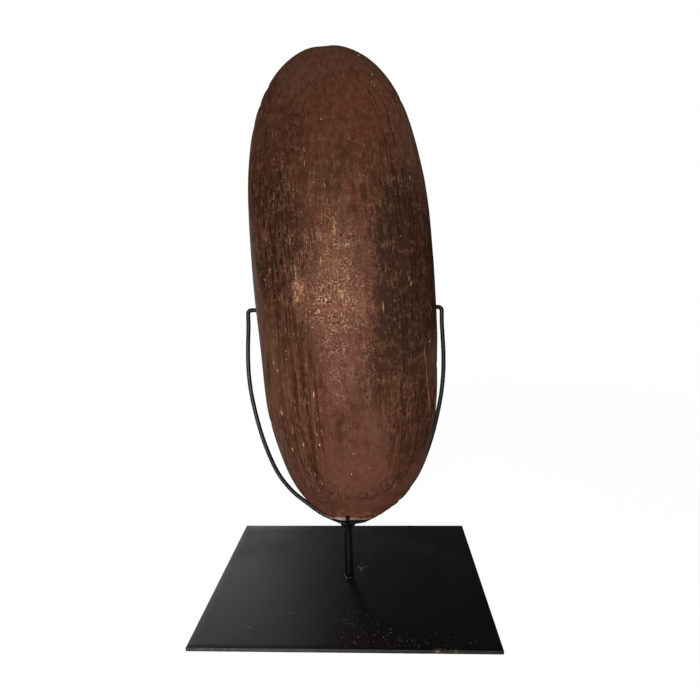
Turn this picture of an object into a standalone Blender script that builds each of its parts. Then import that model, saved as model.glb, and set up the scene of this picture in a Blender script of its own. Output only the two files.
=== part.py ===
"""A carved beanwood shield, held upright by a painted steel display stand.

Metres, +Z up. The origin is the middle of the base plate's underside. The shield's convex front faces -Y,
and +X is to the right of someone who looks at that front. In the shield's own frame X runs across it,
Z along it from its middle, and Y is zero on the plane through the back of its two ends.
"""
import math

import bmesh
import bpy
from mathutils import Matrix, Vector

# Shield, outline and hollow forms
SHIELD_LENGTH = 0.705
SHIELD_WIDTH = 0.266
SHIELD_DEPTH = 0.080
END_FULLNESS = 3.35
AXIS_SWAY = 0.005
TOE_SKEW = -0.004
TOE_SKEW_REACH = 0.014
SHIELD_BOW = 0.008
RIM_THICKNESS = 0.010
RIM_ROUND = 0.004
BACK_HOLLOW = 0.005
HOLLOW_FADE = 0.045

# Shield, crown of the front: powers of its lengthwise and crosswise curves
CROWN_LENGTH_POWER = 2.4
CROWN_END_POWER = 0.8
CROWN_CROSS_POWER = 1.1

# Shield, tool flutes along both flanks of the front
FLUTES_PER_FLANK = 24
FLUTE_DEPTH = 0.0007
FLANK_START = math.radians(22)
FLANK_END = math.radians(84)
FLUTE_END_MARGIN = 0.045
FLUTE_FADE = 0.060

# Shield, grip cut into the back: an oval recess bridged by a bar of the same wood
RECESS_LENGTH = 0.170
RECESS_WIDTH = 0.100
RECESS_DEPTH = 0.044
GRIP_WIDTH = 0.024
GRIP_THICKNESS = 0.017
GRIP_FLARE = 0.005
GRIP_SETBACK = 0.004

# Shield, pose in the stand
LEAN_BACK = math.radians(4.0)
LEAN_SIDE = math.radians(3.0)
MIDDLE_OFFSET = -0.004

# Stand
PLATE_WIDTH = 0.400
PLATE_DEPTH = 0.350
PLATE_THICKNESS = 0.005
PLATE_EDGE = 0.0005
STEM_DIAMETER = 0.0127
STEM_HEIGHT = 0.0826
ARM_DIAMETER = 0.0064
ARM_SPAN = 0.294
ARM_RISE = 0.3265
ARM_STEP_BACK = 0.032
ARM_SKEW = 0.004
ARM_SKEW_REACH = 0.040
TIP_REACH = 0.027
TIP_BEND = 0.0055
PRONG_DIAMETER = 0.006
PRONG_OVERLAP = 0.007
PRONG_BEND = 0.004
PRONG_REACH = 0.0195
CONTACT_GAP = 0.0003

# Half of the cradle's curve from the stem outwards, as shares of its half span and of its rise
ARM_CURVE = (
    (0.0, 0.0), (0.05, 0.001), (0.10, 0.003), (0.15, 0.007), (0.20, 0.013), (0.30, 0.036), (0.427, 0.081),
    (0.600, 0.150), (0.745, 0.246), (0.868, 0.391), (0.952, 0.545), (0.992, 0.668), (1.0, 0.785), (0.985, 0.930),
)

# How finely the curved forms are cut into faces
SHIELD_ROWS = 23
END_TURN = 0.09
BROW_COLUMNS = 10
BACK_COLUMNS = 14
RIM_STEPS = 2
ROUND_SIDES = 24
RECESS_SIDES = 32
RECESS_RINGS = 14
GRIP_RINGS = 9
GRIP_SIDES = 14
STEPS_PER_SPAN = 3
BEND_STEPS = 5

HALF_TURN = math.pi / 2


def clear_scene():
    """Remove whatever the scene holds."""
    for item in list(bpy.data.objects):
        bpy.data.objects.remove(item, do_unlink=True)


def make_material(name, colour, roughness, metallic):
    """A plain Principled material."""
    material = bpy.data.materials.new(name)
    material.use_nodes = True
    shader = material.node_tree.nodes["Principled BSDF"]
    shader.inputs["Base Color"].default_value = (*colour, 1.0)
    shader.inputs["Roughness"].default_value = roughness
    shader.inputs["Metallic"].default_value = metallic
    return material


def add_object(name, data, material=None, matrix=None):
    """Link a mesh or a curve to the scene as an object."""
    item = bpy.data.objects.new(name, data)
    bpy.context.scene.collection.objects.link(item)
    if material:
        data.materials.append(material)
    if matrix:
        item.matrix_world = matrix
    return item


def smooth_step(value):
    """Ease from 0 to 1 while the value goes from 0 to 1."""
    share = min(max(value, 0.0), 1.0)
    return share * share * (3 - 2 * share)


def spaced(first, last, count):
    """Evenly spaced values from first to last, both included."""
    return [first + (last - first) * i / (count - 1) for i in range(count)]


def loft(name, rings):
    """A closed mesh through rings of equal length, with flat ends."""
    bm = bmesh.new()
    loops = [[bm.verts.new(point) for point in ring] for ring in rings]
    for low, high in zip(loops, loops[1:]):
        for i in range(len(low)):
            j = (i + 1) % len(low)
            bm.faces.new((low[i], low[j], high[j], high[i]))
    bm.faces.new(loops[0])
    bm.faces.new(loops[-1])
    bmesh.ops.recalc_face_normals(bm, faces=bm.faces)
    mesh = bpy.data.meshes.new(name)
    bm.to_mesh(mesh)
    bm.free()
    return mesh


def shade(mesh, sharp_angle=math.radians(35)):
    """Shade a mesh smooth, with its crisp edges kept."""
    mesh.shade_smooth()
    mesh.set_sharp_from_angle(angle=sharp_angle)


def end_share(height):
    """How far a height along the shield lies from its middle, as a share of the half length."""
    return min(abs(height) / (SHIELD_LENGTH / 2), 1.0)


def half_width(height):
    """Half of the outline's width at a height along the shield."""
    return SHIELD_WIDTH / 2 * math.sqrt(1 - end_share(height) ** END_FULLNESS)


def outline_middle(height):
    """Sideways place of the outline's middle line, which sways a little and is skewed at the toe."""
    above_toe = height + SHIELD_LENGTH / 2
    sway = AXIS_SWAY * (1 - end_share(height) ** 2)
    return sway + TOE_SKEW * math.exp(-above_toe / TOE_SKEW_REACH)


def bow(height):
    """How far the long bow of the whole shield carries its back forward."""
    return SHIELD_BOW * (1 - end_share(height) ** 2)


def crown(height):
    """Rise of the front above its rim, along the middle line."""
    rise = SHIELD_DEPTH - SHIELD_BOW - RIM_THICKNESS
    return rise * (1 - end_share(height) ** CROWN_LENGTH_POWER) ** CROWN_END_POWER


def flute_strength(height):
    """The flutes run out towards both ends."""
    from_end = SHIELD_LENGTH / 2 - abs(height)
    return smooth_step((from_end - FLUTE_END_MARGIN) / FLUTE_FADE)


def hollow_depth(height):
    """Depth of the back's slight hollow, which runs out at both ends."""
    from_end = SHIELD_LENGTH / 2 - abs(height)
    return BACK_HOLLOW * smooth_step(from_end / HOLLOW_FADE)


def front_columns():
    """Angles round the front from its left edge to its right, and whether each lies in a flute."""
    flank = spaced(FLANK_START, FLANK_END, 2 * FLUTES_PER_FLANK + 1)
    right = [(angle, i % 2 == 1) for i, angle in enumerate(flank)] + [(HALF_TURN, False)]
    left = [(-angle, sunk) for angle, sunk in reversed(right)]
    brow = [(angle, False) for angle in spaced(-FLANK_START, FLANK_START, BROW_COLUMNS)[1:-1]]
    return left + brow + right


def front_point(height, angle, sunk):
    """A point of the convex front, in the shield's frame."""
    half = half_width(height)
    rise = crown(height)
    across = half * math.sin(angle)
    depth = rise * max(math.cos(angle), 0.0) ** CROWN_CROSS_POWER
    if sunk:
        normal = Vector((rise * math.sin(angle), half * math.cos(angle))).normalized()
        across -= normal.x * FLUTE_DEPTH * flute_strength(height)
        depth -= normal.y * FLUTE_DEPTH * flute_strength(height)
    return Vector((outline_middle(height) + across, -(bow(height) + RIM_THICKNESS + depth), height))


def shield_ring(height):
    """One closed cross-section: front, right rim, back, left rim."""
    ring = [front_point(height, angle, sunk) for angle, sunk in front_columns()]
    middle = outline_middle(height)
    flat = half_width(height) - RIM_ROUND
    rim = []
    for i in range(RIM_STEPS + 1):
        angle = HALF_TURN * i / RIM_STEPS
        rim.append((flat + RIM_ROUND * math.cos(angle), RIM_ROUND * (1 - math.sin(angle))))
    back = []
    for share in spaced(1, -1, BACK_COLUMNS + 2)[1:-1]:
        back.append((flat * share, hollow_depth(height) * (1 - share * share) ** 2))
    edge = rim + back + [(-across, depth) for across, depth in reversed(rim)]
    return ring + [Vector((middle + across, -(bow(height) + depth), height)) for across, depth in edge]


def shield_mesh():
    """The solid shield before its grip is cut."""
    turns = spaced(END_TURN, math.pi - END_TURN, SHIELD_ROWS)
    return loft("shield", [shield_ring(-SHIELD_LENGTH / 2 * math.cos(turn)) for turn in turns])


def oval(across, along, depth_at, sides):
    """Points round an oval in a plane across the depth."""
    turns = [2 * math.pi * i / sides for i in range(sides)]
    return [Vector((across * math.cos(a), depth_at, along * math.sin(a))) for a in turns]


def recess_mesh():
    """The bowl that the recess is cut with: half an ellipsoid, carried on past the back."""
    centre = Vector((outline_middle(0), -bow(0), 0))
    rings = [oval(RECESS_WIDTH / 2, RECESS_LENGTH / 2, RECESS_DEPTH / 2, RECESS_SIDES)]
    for i in range(RECESS_RINGS):
        angle = HALF_TURN * i / RECESS_RINGS
        across = RECESS_WIDTH / 2 * math.cos(angle)
        along = RECESS_LENGTH / 2 * math.cos(angle)
        rings.append(oval(across, along, -RECESS_DEPTH * math.sin(angle), RECESS_SIDES))
    return loft("recess_cutter", [[centre + point for point in ring] for ring in rings])


def grip_mesh():
    """The bar that the recess leaves standing, flared where it runs into the wood."""
    centre = Vector((outline_middle(0), -bow(0) - GRIP_SETBACK - GRIP_THICKNESS / 2, 0))
    reach = RECESS_LENGTH / 2 + RECESS_DEPTH / 4
    rings = []
    for height in spaced(-reach, reach, GRIP_RINGS):
        flare = GRIP_FLARE * (height / reach) ** 2
        ring = []
        for i in range(GRIP_SIDES):
            angle = 2 * math.pi * i / GRIP_SIDES
            across = (GRIP_WIDTH / 2 + flare) * math.cos(angle)
            depth = (GRIP_THICKNESS / 2 + flare / 2) * math.sin(angle)
            ring.append(centre + Vector((across, depth, height)))
        rings.append(ring)
    return loft("grip_cutter", rings)


def cut(target, cutter):
    """Cut one object out of another, and leave the cutter as a guide."""
    modifier = target.modifiers.new("cut", "BOOLEAN")
    modifier.operation = "DIFFERENCE"
    modifier.object = cutter
    cutter.hide_render = True
    cutter.display_type = "WIRE"


def stem_top():
    """Height of the stem's upper end."""
    return PLATE_THICKNESS + CONTACT_GAP + STEM_HEIGHT


def cradle_bottom():
    """Height of the cradle's centre line where it crosses the stem."""
    return stem_top() + CONTACT_GAP + ARM_DIAMETER / 2


def shield_placement(mesh):
    """Lean the shield, and set its lowest point on the cradle with its toe over the stem."""
    lean = Matrix.Rotation(-LEAN_BACK, 4, "X") @ Matrix.Rotation(-LEAN_SIDE, 4, "Y")
    lowest = min((lean @ vertex.co).z for vertex in mesh.vertices)
    toe = lean @ Vector((0, -RIM_THICKNESS / 2, -SHIELD_LENGTH / 2))
    seat = cradle_bottom() + ARM_DIAMETER / 2 + CONTACT_GAP
    return Matrix.Translation((MIDDLE_OFFSET, -toe.y, seat - lowest)) @ lean


def build_shield(material):
    """The shield with its grip, in its place on the stand."""
    mesh = shield_mesh()
    placement = shield_placement(mesh)
    grip = add_object("grip_cutter", grip_mesh(), matrix=placement)
    recess = add_object("recess_cutter", recess_mesh(), matrix=placement)
    shield = add_object("shield", mesh, material, placement)
    cut(recess, grip)
    cut(shield, recess)
    shade(mesh)
    return shield


def build_plate(material):
    """The square-edged steel plate that everything stands on."""
    bm = bmesh.new()
    size = Matrix.Diagonal((PLATE_WIDTH, PLATE_DEPTH, PLATE_THICKNESS, 1))
    bmesh.ops.create_cube(bm, size=1, matrix=size)
    bmesh.ops.bevel(bm, geom=bm.edges, offset=PLATE_EDGE, segments=1, affect="EDGES")
    mesh = bpy.data.meshes.new("base_plate")
    bm.to_mesh(mesh)
    bm.free()
    add_object("base_plate", mesh, material, Matrix.Translation((0, 0, PLATE_THICKNESS / 2)))


def build_stem(material):
    """The short upright, welded to the middle of the plate."""
    bm = bmesh.new()
    radius = STEM_DIAMETER / 2
    bmesh.ops.create_cone(
        bm, cap_ends=True, segments=ROUND_SIDES, radius1=radius, radius2=radius, depth=STEM_HEIGHT
    )
    mesh = bpy.data.meshes.new("stem")
    bm.to_mesh(mesh)
    bm.free()
    shade(mesh)
    middle = PLATE_THICKNESS + CONTACT_GAP + STEM_HEIGHT / 2
    add_object("stem", mesh, material, Matrix.Translation((0, 0, middle)))


def through(points, steps):
    """Points of a smooth curve through the given ones."""
    ends = [2 * points[0] - points[1]] + points + [2 * points[-1] - points[-2]]
    path = []
    for p0, p1, p2, p3 in zip(ends, ends[1:], ends[2:], ends[3:]):
        for i in range(steps):
            t = i / steps
            path.append(0.5 * (2 * p1 + (p2 - p0) * t + (2 * p0 - 5 * p1 + 4 * p2 - p3) * t ** 2
                               + (3 * p1 - p0 - 3 * p2 + p3) * t ** 3))
    return path + [points[-1].copy()]


def rounded(corner, before, after, radius, steps):
    """Arc that rounds a corner between the points before and after it."""
    first = (before - corner).normalized()
    second = (after - corner).normalized()
    half = first.angle(second) / 2
    start = corner + first * radius / math.tan(half)
    centre = corner + (first + second).normalized() * radius / math.sin(half)
    spoke = start - centre
    axis = first.cross(second)
    turn = math.pi - 2 * half
    return [centre + Matrix.Rotation(-turn * i / steps, 3, axis) @ spoke for i in range(steps + 1)]


def rod(name, path, diameter, resolution, material):
    """A round rod along a path, with closed ends."""
    curve = bpy.data.curves.new(name, "CURVE")
    curve.dimensions = "3D"
    curve.bevel_depth = diameter / 2
    curve.bevel_resolution = resolution
    curve.use_fill_caps = True
    spline = curve.splines.new("POLY")
    spline.points.add(len(path) - 1)
    for knot, point in zip(spline.points, path):
        knot.co = (*point, 1)
    return add_object(name, curve, material)


def rim_back(height, placement):
    """How far back the rim's rear face lies at a height above the floor."""
    along = (height - placement.translation.z) / (math.cos(LEAN_BACK) * math.cos(LEAN_SIDE))
    return (placement @ Vector((0, -bow(along), along))).y


def under_rim(across, shield):
    """Height of the shield's underside near a distance across the stand."""
    points = [shield.matrix_world @ vertex.co for vertex in shield.data.vertices]
    return min(point.z for point in points if abs(point.x - across) < ARM_DIAMETER)


def arm_point(across, up, shield):
    """A point of the cradle's centre line: close under the shield's toe, then behind its rim."""
    clearance = ARM_DIAMETER / 2 + CONTACT_GAP
    clear = smooth_step(abs(across) / ARM_STEP_BACK)
    across += ARM_SKEW * clear * math.exp(-up / ARM_SKEW_REACH)
    height = cradle_bottom() + up
    if clear < 1:
        height = min(height, under_rim(across, shield) - clearance)
    behind = rim_back(height, shield.matrix_world) + clearance / math.cos(LEAN_BACK)
    return Vector((across, behind * clear, height))


def arm_path(side, shield):
    """Half of the cradle, from the stem to its tip."""
    knots = [arm_point(side * ARM_SPAN / 2 * x, ARM_RISE * z, shield) for x, z in ARM_CURVE]
    corner = arm_point(knots[-1].x, ARM_RISE, shield)
    tip = arm_point(knots[-1].x - side * TIP_REACH, ARM_RISE, shield)
    return through(knots, STEPS_PER_SPAN) + rounded(corner, knots[-1], tip, TIP_BEND, BEND_STEPS) + [tip]


def build_cradle(material, shield):
    """One rod bent into a cradle: under the toe, up behind both flanks, its tips turned in."""
    left, right = (arm_path(side, shield) for side in (-1, 1))
    rod("cradle_rod", left[:0:-1] + right, ARM_DIAMETER, 2, material)


def prong_lean(bend, shield):
    """The least forward lean at which the prong clears the shield's toe."""
    clearance = PRONG_DIAMETER / 2 + CONTACT_GAP
    lean = 0.0
    for vertex in shield.data.vertices:
        point = shield.matrix_world @ vertex.co - bend
        if abs(point.x) > 2 * PRONG_DIAMETER or not 0 < point.z < 2 * PRONG_REACH:
            continue
        distance = math.hypot(point.y, point.z)
        if distance > clearance:
            lean = max(lean, math.atan2(-point.y, point.z) + math.asin(clearance / distance))
    return lean


def build_prong(material, shield):
    """The short rod in front that keeps the toe from sliding off the cradle."""
    forward = -(STEM_DIAMETER / 2 + CONTACT_GAP + PRONG_DIAMETER / 2)
    foot = Vector((0, forward, stem_top() - PRONG_OVERLAP))
    bend = Vector((0, forward, cradle_bottom()))
    lean = prong_lean(bend, shield)
    tip = bend + PRONG_REACH * Vector((0, -math.sin(lean), math.cos(lean)))
    path = [foot] + rounded(bend, foot, tip, PRONG_BEND, BEND_STEPS) + [tip]
    rod("front_prong", path, PRONG_DIAMETER, 4, material)


def build():
    """Model the shield and its stand."""
    clear_scene()
    wood = make_material("ochred_wood", (0.105, 0.042, 0.028), 0.62, 0.0)
    steel = make_material("black_painted_steel", (0.012, 0.013, 0.014), 0.42, 0.0)
    shield = build_shield(wood)
    build_plate(steel)
    build_stem(steel)
    build_cradle(steel, shield)
    build_prong(steel, shield)


build()
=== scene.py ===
"""The looks of a carved beanwood shield and of the painted steel stand that holds it up.

Metres, +Z up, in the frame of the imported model. The shield's convex front faces -Y.
"""

import math

import bmesh
import bpy
import numpy as np
from mathutils import Matrix, Vector


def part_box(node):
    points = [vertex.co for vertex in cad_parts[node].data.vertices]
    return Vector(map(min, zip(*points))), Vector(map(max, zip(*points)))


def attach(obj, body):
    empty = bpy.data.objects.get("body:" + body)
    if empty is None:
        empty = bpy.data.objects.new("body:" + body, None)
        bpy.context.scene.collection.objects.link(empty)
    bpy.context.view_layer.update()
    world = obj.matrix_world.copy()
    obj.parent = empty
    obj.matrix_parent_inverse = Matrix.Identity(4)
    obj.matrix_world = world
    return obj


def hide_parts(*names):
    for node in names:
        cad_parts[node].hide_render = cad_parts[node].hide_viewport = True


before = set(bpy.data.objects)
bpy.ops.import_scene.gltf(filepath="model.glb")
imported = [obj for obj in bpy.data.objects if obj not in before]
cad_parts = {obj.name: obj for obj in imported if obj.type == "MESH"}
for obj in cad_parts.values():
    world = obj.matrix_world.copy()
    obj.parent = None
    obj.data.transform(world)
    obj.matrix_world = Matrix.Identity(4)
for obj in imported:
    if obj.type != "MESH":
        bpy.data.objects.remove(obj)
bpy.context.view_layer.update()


# Base plate: a guillotined sheet of 5 mm mild steel with its edges lightly dressed, painted satin
# black. Dust and a painted sheen grey the paint towards the back, grit lies in front, and the front
# edge is rubbed bare, with a spot of rust near its right end.
PLATE_LOW, PLATE_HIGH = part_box("base_plate")
PLATE_EDGE = 0.0007
PLATE_CELL = 0.010
PLATE_WAVE = 0.00012
SHARP_ANGLE = math.radians(50)
RUST_MIDDLE = 0.128
RUST_REACH = 0.020
RUST_DEPTH = 0.005
RUB_DEPTH = 0.0016
# Places across where the front edge is rubbed most, and where the rubbing ends.
RUB_START, RUB_END = (-0.16, 0.12)
# Places in depth where the dust with its painted sheen and the grit begin, and where they are thickest.
DUST_SHEEN_START, DUST_SHEEN_FULL = (-0.06, 0.15)
GRIT_START, GRIT_FULL = (0.02, -0.15)
PLATE_BLACK = (0.0046, 0.0048, 0.0050)
PLATE_DUST_AND_SHEEN = (0.036, 0.038, 0.039)
SCUFFED = (0.060, 0.062, 0.060)
BARE_STEEL = (0.086, 0.089, 0.088)
RUST = (0.220, 0.125, 0.060)
GRIT = (0.160, 0.130, 0.100)


class Value:
    """One socket of a node tree. Sums of values add their Math nodes."""

    def __init__(self, tree, socket):
        self.tree = tree
        self.socket = socket

    def maths(self, operation, *others):
        """One Math node on this value and any others."""
        return self.tree.add("ShaderNodeMath", (self, *others), operation=operation)

    def __add__(self, other):
        return self.maths("ADD", other)

    __radd__ = __add__

    def __sub__(self, other):
        return self.maths("SUBTRACT", other)

    def __rsub__(self, other):
        return self.tree.add("ShaderNodeMath", (other, self), operation="SUBTRACT")

    def __mul__(self, other):
        return self.maths("MULTIPLY", other)

    __rmul__ = __mul__

    def __truediv__(self, other):
        return self.maths("DIVIDE", other)

    def __abs__(self):
        return self.maths("ABSOLUTE")

    def ease(self, low, high):
        """Ease from 0 to 1 while this value goes from low to high, or back if high is the lower."""
        if low > high:
            return 1 - self.ease(high, low)
        spans = (self, low, high, 0.0, 1.0)
        return self.tree.add("ShaderNodeMapRange", spans, interpolation_type="SMOOTHSTEP")

    def part(self, name):
        """One of the three numbers of a vector."""
        return self.tree.add("ShaderNodeSeparateXYZ", (self,), output="XYZ".index(name))

    def stretched(self, across, depth, along):
        """This vector with each number multiplied by its own factor."""
        sockets = (self, (across, depth, along))
        return self.tree.add("ShaderNodeVectorMath", sockets, operation="MULTIPLY")


class Tree:
    """A node tree that is written as expressions. Its colour is what has been laid on so far."""

    def __init__(self, nodes):
        self.nodes = nodes
        self.colour = None

    def add(self, kind, sockets=(), output=0, **settings):
        """Add a node, set it, give its sockets values or links, and return one of its outputs."""
        node = self.nodes.nodes.new(kind)
        for name, value in settings.items():
            setattr(node, name, value)
        pairs = sockets.items() if isinstance(sockets, dict) else enumerate(sockets)
        for key, value in pairs:
            if isinstance(value, Value):
                self.nodes.links.new(value.socket, node.inputs[key])
            else:
                node.inputs[key].default_value = value
        return Value(self, node.outputs[output])

    def own_place(self):
        """Place in the piece's own axes."""
        return self.add("ShaderNodeTexCoord", output=3)

    def noise(self, place, scale, detail=3.0, roughness=0.5):
        """A cloudy number from 0 to 1."""
        sockets = {"Vector": place, "Scale": scale, "Detail": detail, "Roughness": roughness}
        return self.add("ShaderNodeTexNoise", sockets)

    def specks(self, place, scale, size, chosen=1.0):
        """Round specks, one in a cell, with only a share of the cells chosen."""
        sockets = {"Vector": place, "Scale": scale}
        near = self.add("ShaderNodeTexVoronoi", sockets)
        tint = self.add("ShaderNodeTexVoronoi", sockets, 1)
        return near.ease(size, size * 0.5) * tint.part("X").maths("LESS_THAN", chosen)

    def mix(self, share, first, second):
        """A colour between two colours."""
        sides = [side if isinstance(side, Value) else (*side, 1.0) for side in (first, second)]
        sockets = {0: share, 6: sides[0], 7: sides[1]}
        return self.add("ShaderNodeMix", sockets, 2, data_type="RGBA")

    def lay(self, share, tint):
        """Lay a tint over the colour so far, as thick as its share."""
        self.colour = self.mix(share, self.colour, tint)

    def attribute(self, name):
        """A number that the mesh carries at each of its points."""
        return self.add("ShaderNodeAttribute", output=2, attribute_name=name)

    def carried(self, name):
        """The same, in a Geometry Nodes tree."""
        return self.add("GeometryNodeInputNamedAttribute", {"Name": name}, data_type="FLOAT")


def new_material(name, kind=Tree):
    """A new material, its tree and its Principled shader."""
    material = bpy.data.materials.new(name)
    material.use_nodes = True
    return material, kind(material.node_tree), material.node_tree.nodes["Principled BSDF"]


def wire(tree, shader, height, distance, **sockets):
    """Link what varies over the surface to the shader, and its fine relief to the Normal."""
    for name, value in sockets.items():
        tree.nodes.links.new(value.socket, shader.inputs[name.replace("_", " ")])
    relief = tree.add("ShaderNodeBump", {"Height": height, "Distance": distance, "Strength": 1.0})
    tree.nodes.links.new(relief.socket, shader.inputs["Normal"])


def new_object(name, data):
    """An object in the scene."""
    item = bpy.data.objects.new(name, data)
    bpy.context.scene.collection.objects.link(item)
    return item


def add_piece(name, mesh, material, replaced=None):
    """Put a finished mesh into the scene as a piece that rides on the stand."""
    mesh.materials.clear()
    mesh.materials.append(material)
    piece = new_object(name, mesh)
    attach(piece, "root")
    if replaced:
        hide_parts(replaced)
    return piece


def plate_paint():
    """Satin black paint on sheet steel: dust and painted sheen at the back, small scuffs, grit, a
    rubbed front edge.
    """
    material, tree, shader = new_material("plate_black_paint")
    place = tree.own_place()
    across, depth = (place.part(name) for name in "XY")
    cloud = tree.noise(place, 9.0, 4.0, 0.6)
    mottle = tree.noise(place, 55.0, 3.0, 0.6)
    # Dust towards the back, with a painted sheen that lightens the paint further towards the back edge.
    dust_and_sheen = 0.35 + 0.65 * cloud.ease(0.40, 0.68)
    dust_and_sheen = dust_and_sheen * depth.ease(DUST_SHEEN_START, DUST_SHEEN_FULL) * (0.55 + 0.45 * mottle)
    tree.colour = tree.mix(0.55 * dust_and_sheen, PLATE_BLACK, PLATE_DUST_AND_SHEEN)
    scuff = tree.noise(place.stretched(1.0, 0.25, 1.0), 170.0, 2.0).ease(0.66, 0.74)
    tree.lay(0.35 * scuff * mottle.ease(0.45, 0.7), SCUFFED)
    front = depth.ease(PLATE_LOW.y + RUB_DEPTH, PLATE_LOW.y + 0.25 * RUB_DEPTH)
    worn = front * (0.45 + 0.55 * tree.noise(place, 130.0, 4.0, 0.65).ease(0.40, 0.62))
    tree.lay(worn * 0.70 * across.ease(RUB_END, RUB_START), BARE_STEEL)
    rusty = abs(across - RUST_MIDDLE).ease(RUST_REACH, 0.4 * RUST_REACH)
    rusty = rusty * depth.ease(PLATE_LOW.y + RUST_DEPTH, PLATE_LOW.y)
    rust = rusty * tree.noise(place, 300.0, 3.0).ease(0.47, 0.60)
    tree.lay(0.85 * rust, RUST)
    grit = tree.specks(place, 330.0, 0.22, 0.05) * depth.ease(GRIT_START, GRIT_FULL)
    tree.lay(0.5 * grit * cloud.ease(0.35, 0.6), GRIT)
    roughness = 0.30 + 0.10 * cloud + 0.25 * dust_and_sheen + 0.3 * worn + 0.4 * rust
    height = tree.noise(place, 900.0, 2.0) + 3.0 * tree.noise(place, 70.0, 2.0) + 2.0 * rust
    wire(tree, shader, height, 0.00003, Base_Color=tree.colour, Roughness=roughness)
    shader.inputs["Specular IOR Level"].default_value = 0.37
    return material


def plate_mesh():
    """The slab, cut into cells so that its faces wave a little, with softened edges."""
    bm = bmesh.new()
    size = PLATE_HIGH - PLATE_LOW
    middle = (PLATE_HIGH + PLATE_LOW) / 2
    bmesh.ops.create_cube(bm, size=1, matrix=Matrix.Translation(middle) @ Matrix.Diagonal((*size, 1)))
    for axis in (0, 1):
        for i in range(1, int(size[axis] / PLATE_CELL)):
            cut = middle.copy()
            cut[axis] = PLATE_LOW[axis] + i * PLATE_CELL
            normal = Vector((axis == 0, axis == 1, 0))
            whole = bm.verts[:] + bm.edges[:] + bm.faces[:]
            bmesh.ops.bisect_plane(bm, geom=whole, plane_co=cut, plane_no=normal)
    rim = [edge for edge in bm.edges if edge.calc_face_angle(0.0) > 1.0]
    bmesh.ops.bevel(bm, geom=rim, offset=PLATE_EDGE, segments=3, profile=0.5, affect="EDGES")
    for vertex in bm.verts:
        x, y, z = vertex.co
        wave = math.sin(41 * x + 3 * math.sin(17 * y)) * math.sin(37 * y + 1.3)
        if z > PLATE_LOW.z + PLATE_EDGE:
            vertex.co.z -= PLATE_WAVE * (0.5 + 0.5 * wave)
    mesh = bpy.data.meshes.new("painted_plate")
    bm.to_mesh(mesh)
    bm.free()
    mesh.shade_smooth()
    mesh.set_sharp_from_angle(angle=SHARP_ANGLE)
    return mesh


add_piece("painted_plate", plate_mesh(), plate_paint(), replaced="base_plate")


# Stem: a length of half-inch round bar, standing on the plate's middle and welded round its foot. It
# is painted with the rest of the stand once everything is welded up.
STEM_LOW, STEM_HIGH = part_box("stem")
STEM_RADIUS = (STEM_HIGH.x - STEM_LOW.x) / 2
STEM_ROUND = 0.0006
STEM_STEPS = 12
BAR_SIDES = 28
BAR_WAVE = 0.00006
END_STEPS = 6
# Heights over which the dust round the stem's foot fades, and over which the left arm's gloss does.
FOOT_DUST_LOW, FOOT_DUST_HIGH = (PLATE_HIGH.z + 0.001, PLATE_HIGH.z + 0.005)
GLOSS_LOW, GLOSS_HIGH = (0.22, 0.40)
ROD_BLACK = (0.0008, 0.0014, 0.0016)
ROD_GREY = (0.0022, 0.0034, 0.0038)
ROD_DUST = (0.280, 0.280, 0.270)


def bar_paint():
    """The same black on drawn rod, glossy low on the left arm and dusty round the stem's foot."""
    material, tree, shader = new_material("bar_black_paint")
    place = tree.own_place()
    across, up = (place.part(name) for name in "XZ")
    cloud = tree.noise(place, 60.0, 3.0)
    drag = tree.noise(place.stretched(1.0, 1.0, 0.15), 500.0, 2.0)
    tree.colour = tree.mix(cloud.ease(0.35, 0.7), ROD_BLACK, ROD_GREY)
    foot = up.ease(FOOT_DUST_HIGH, FOOT_DUST_LOW)
    fleck = tree.specks(place, 420.0, 0.25, 0.04)
    fleck = fleck.maths("MAXIMUM", tree.specks(place, 520.0, 0.5, 0.3) * foot)
    tree.lay((0.25 + 0.6 * foot) * fleck, ROD_DUST)
    roughness = 0.42 + 0.08 * cloud + 0.06 * drag
    gloss = across.ease(-0.006, -0.030) * (0.12 + 0.78 * up.ease(GLOSS_HIGH, GLOSS_LOW))
    gloss = gloss + 0.08 * across.ease(0.020, 0.050)
    looks = {"Base_Color": tree.colour, "Roughness": roughness, "Coat_Weight": gloss}
    wire(tree, shader, drag + 2.0 * cloud, 0.000015, **looks)
    shader.inputs["Specular IOR Level"].default_value = 0.20
    shader.inputs["Coat Roughness"].default_value = 0.22
    return material


def group_tree(name, **sizes):
    """A Geometry Nodes group with named inputs, as its tree, its geometry and its sizes."""
    nodes = bpy.data.node_groups.new(name, "GeometryNodeTree")
    nodes.interface.new_socket("Geometry", in_out="INPUT", socket_type="NodeSocketGeometry")
    nodes.interface.new_socket("Geometry", in_out="OUTPUT", socket_type="NodeSocketGeometry")
    for label, kind in sizes.items():
        title = label.replace("_", " ")
        nodes.interface.new_socket(title, in_out="INPUT", socket_type="NodeSocket" + kind)
    tree = Tree(nodes)
    inputs = nodes.nodes.new("NodeGroupInput")
    return tree, [Value(tree, socket) for socket in inputs.outputs if socket.name]


def pushed_out(tree, geometry, amount):
    """The geometry with each point moved along its normal."""
    push = {0: tree.add("GeometryNodeInputNormal"), 3: amount}
    offset = tree.add("ShaderNodeVectorMath", push, operation="SCALE")
    return tree.add("GeometryNodeSetPosition", {"Geometry": geometry, "Offset": offset})


def close_group(tree, geometry, finish):
    """End a group: real meshes, smooth, in their material."""
    real = tree.add("GeometryNodeRealizeInstances", (geometry,))
    smooth = tree.add("GeometryNodeSetShadeSmooth", (real,))
    made = tree.add("GeometryNodeSetMaterial", {"Geometry": smooth, "Material": finish})
    output = tree.nodes.nodes.new("NodeGroupOutput")
    tree.nodes.links.new(made.socket, output.inputs[0])
    return tree.nodes


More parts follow.
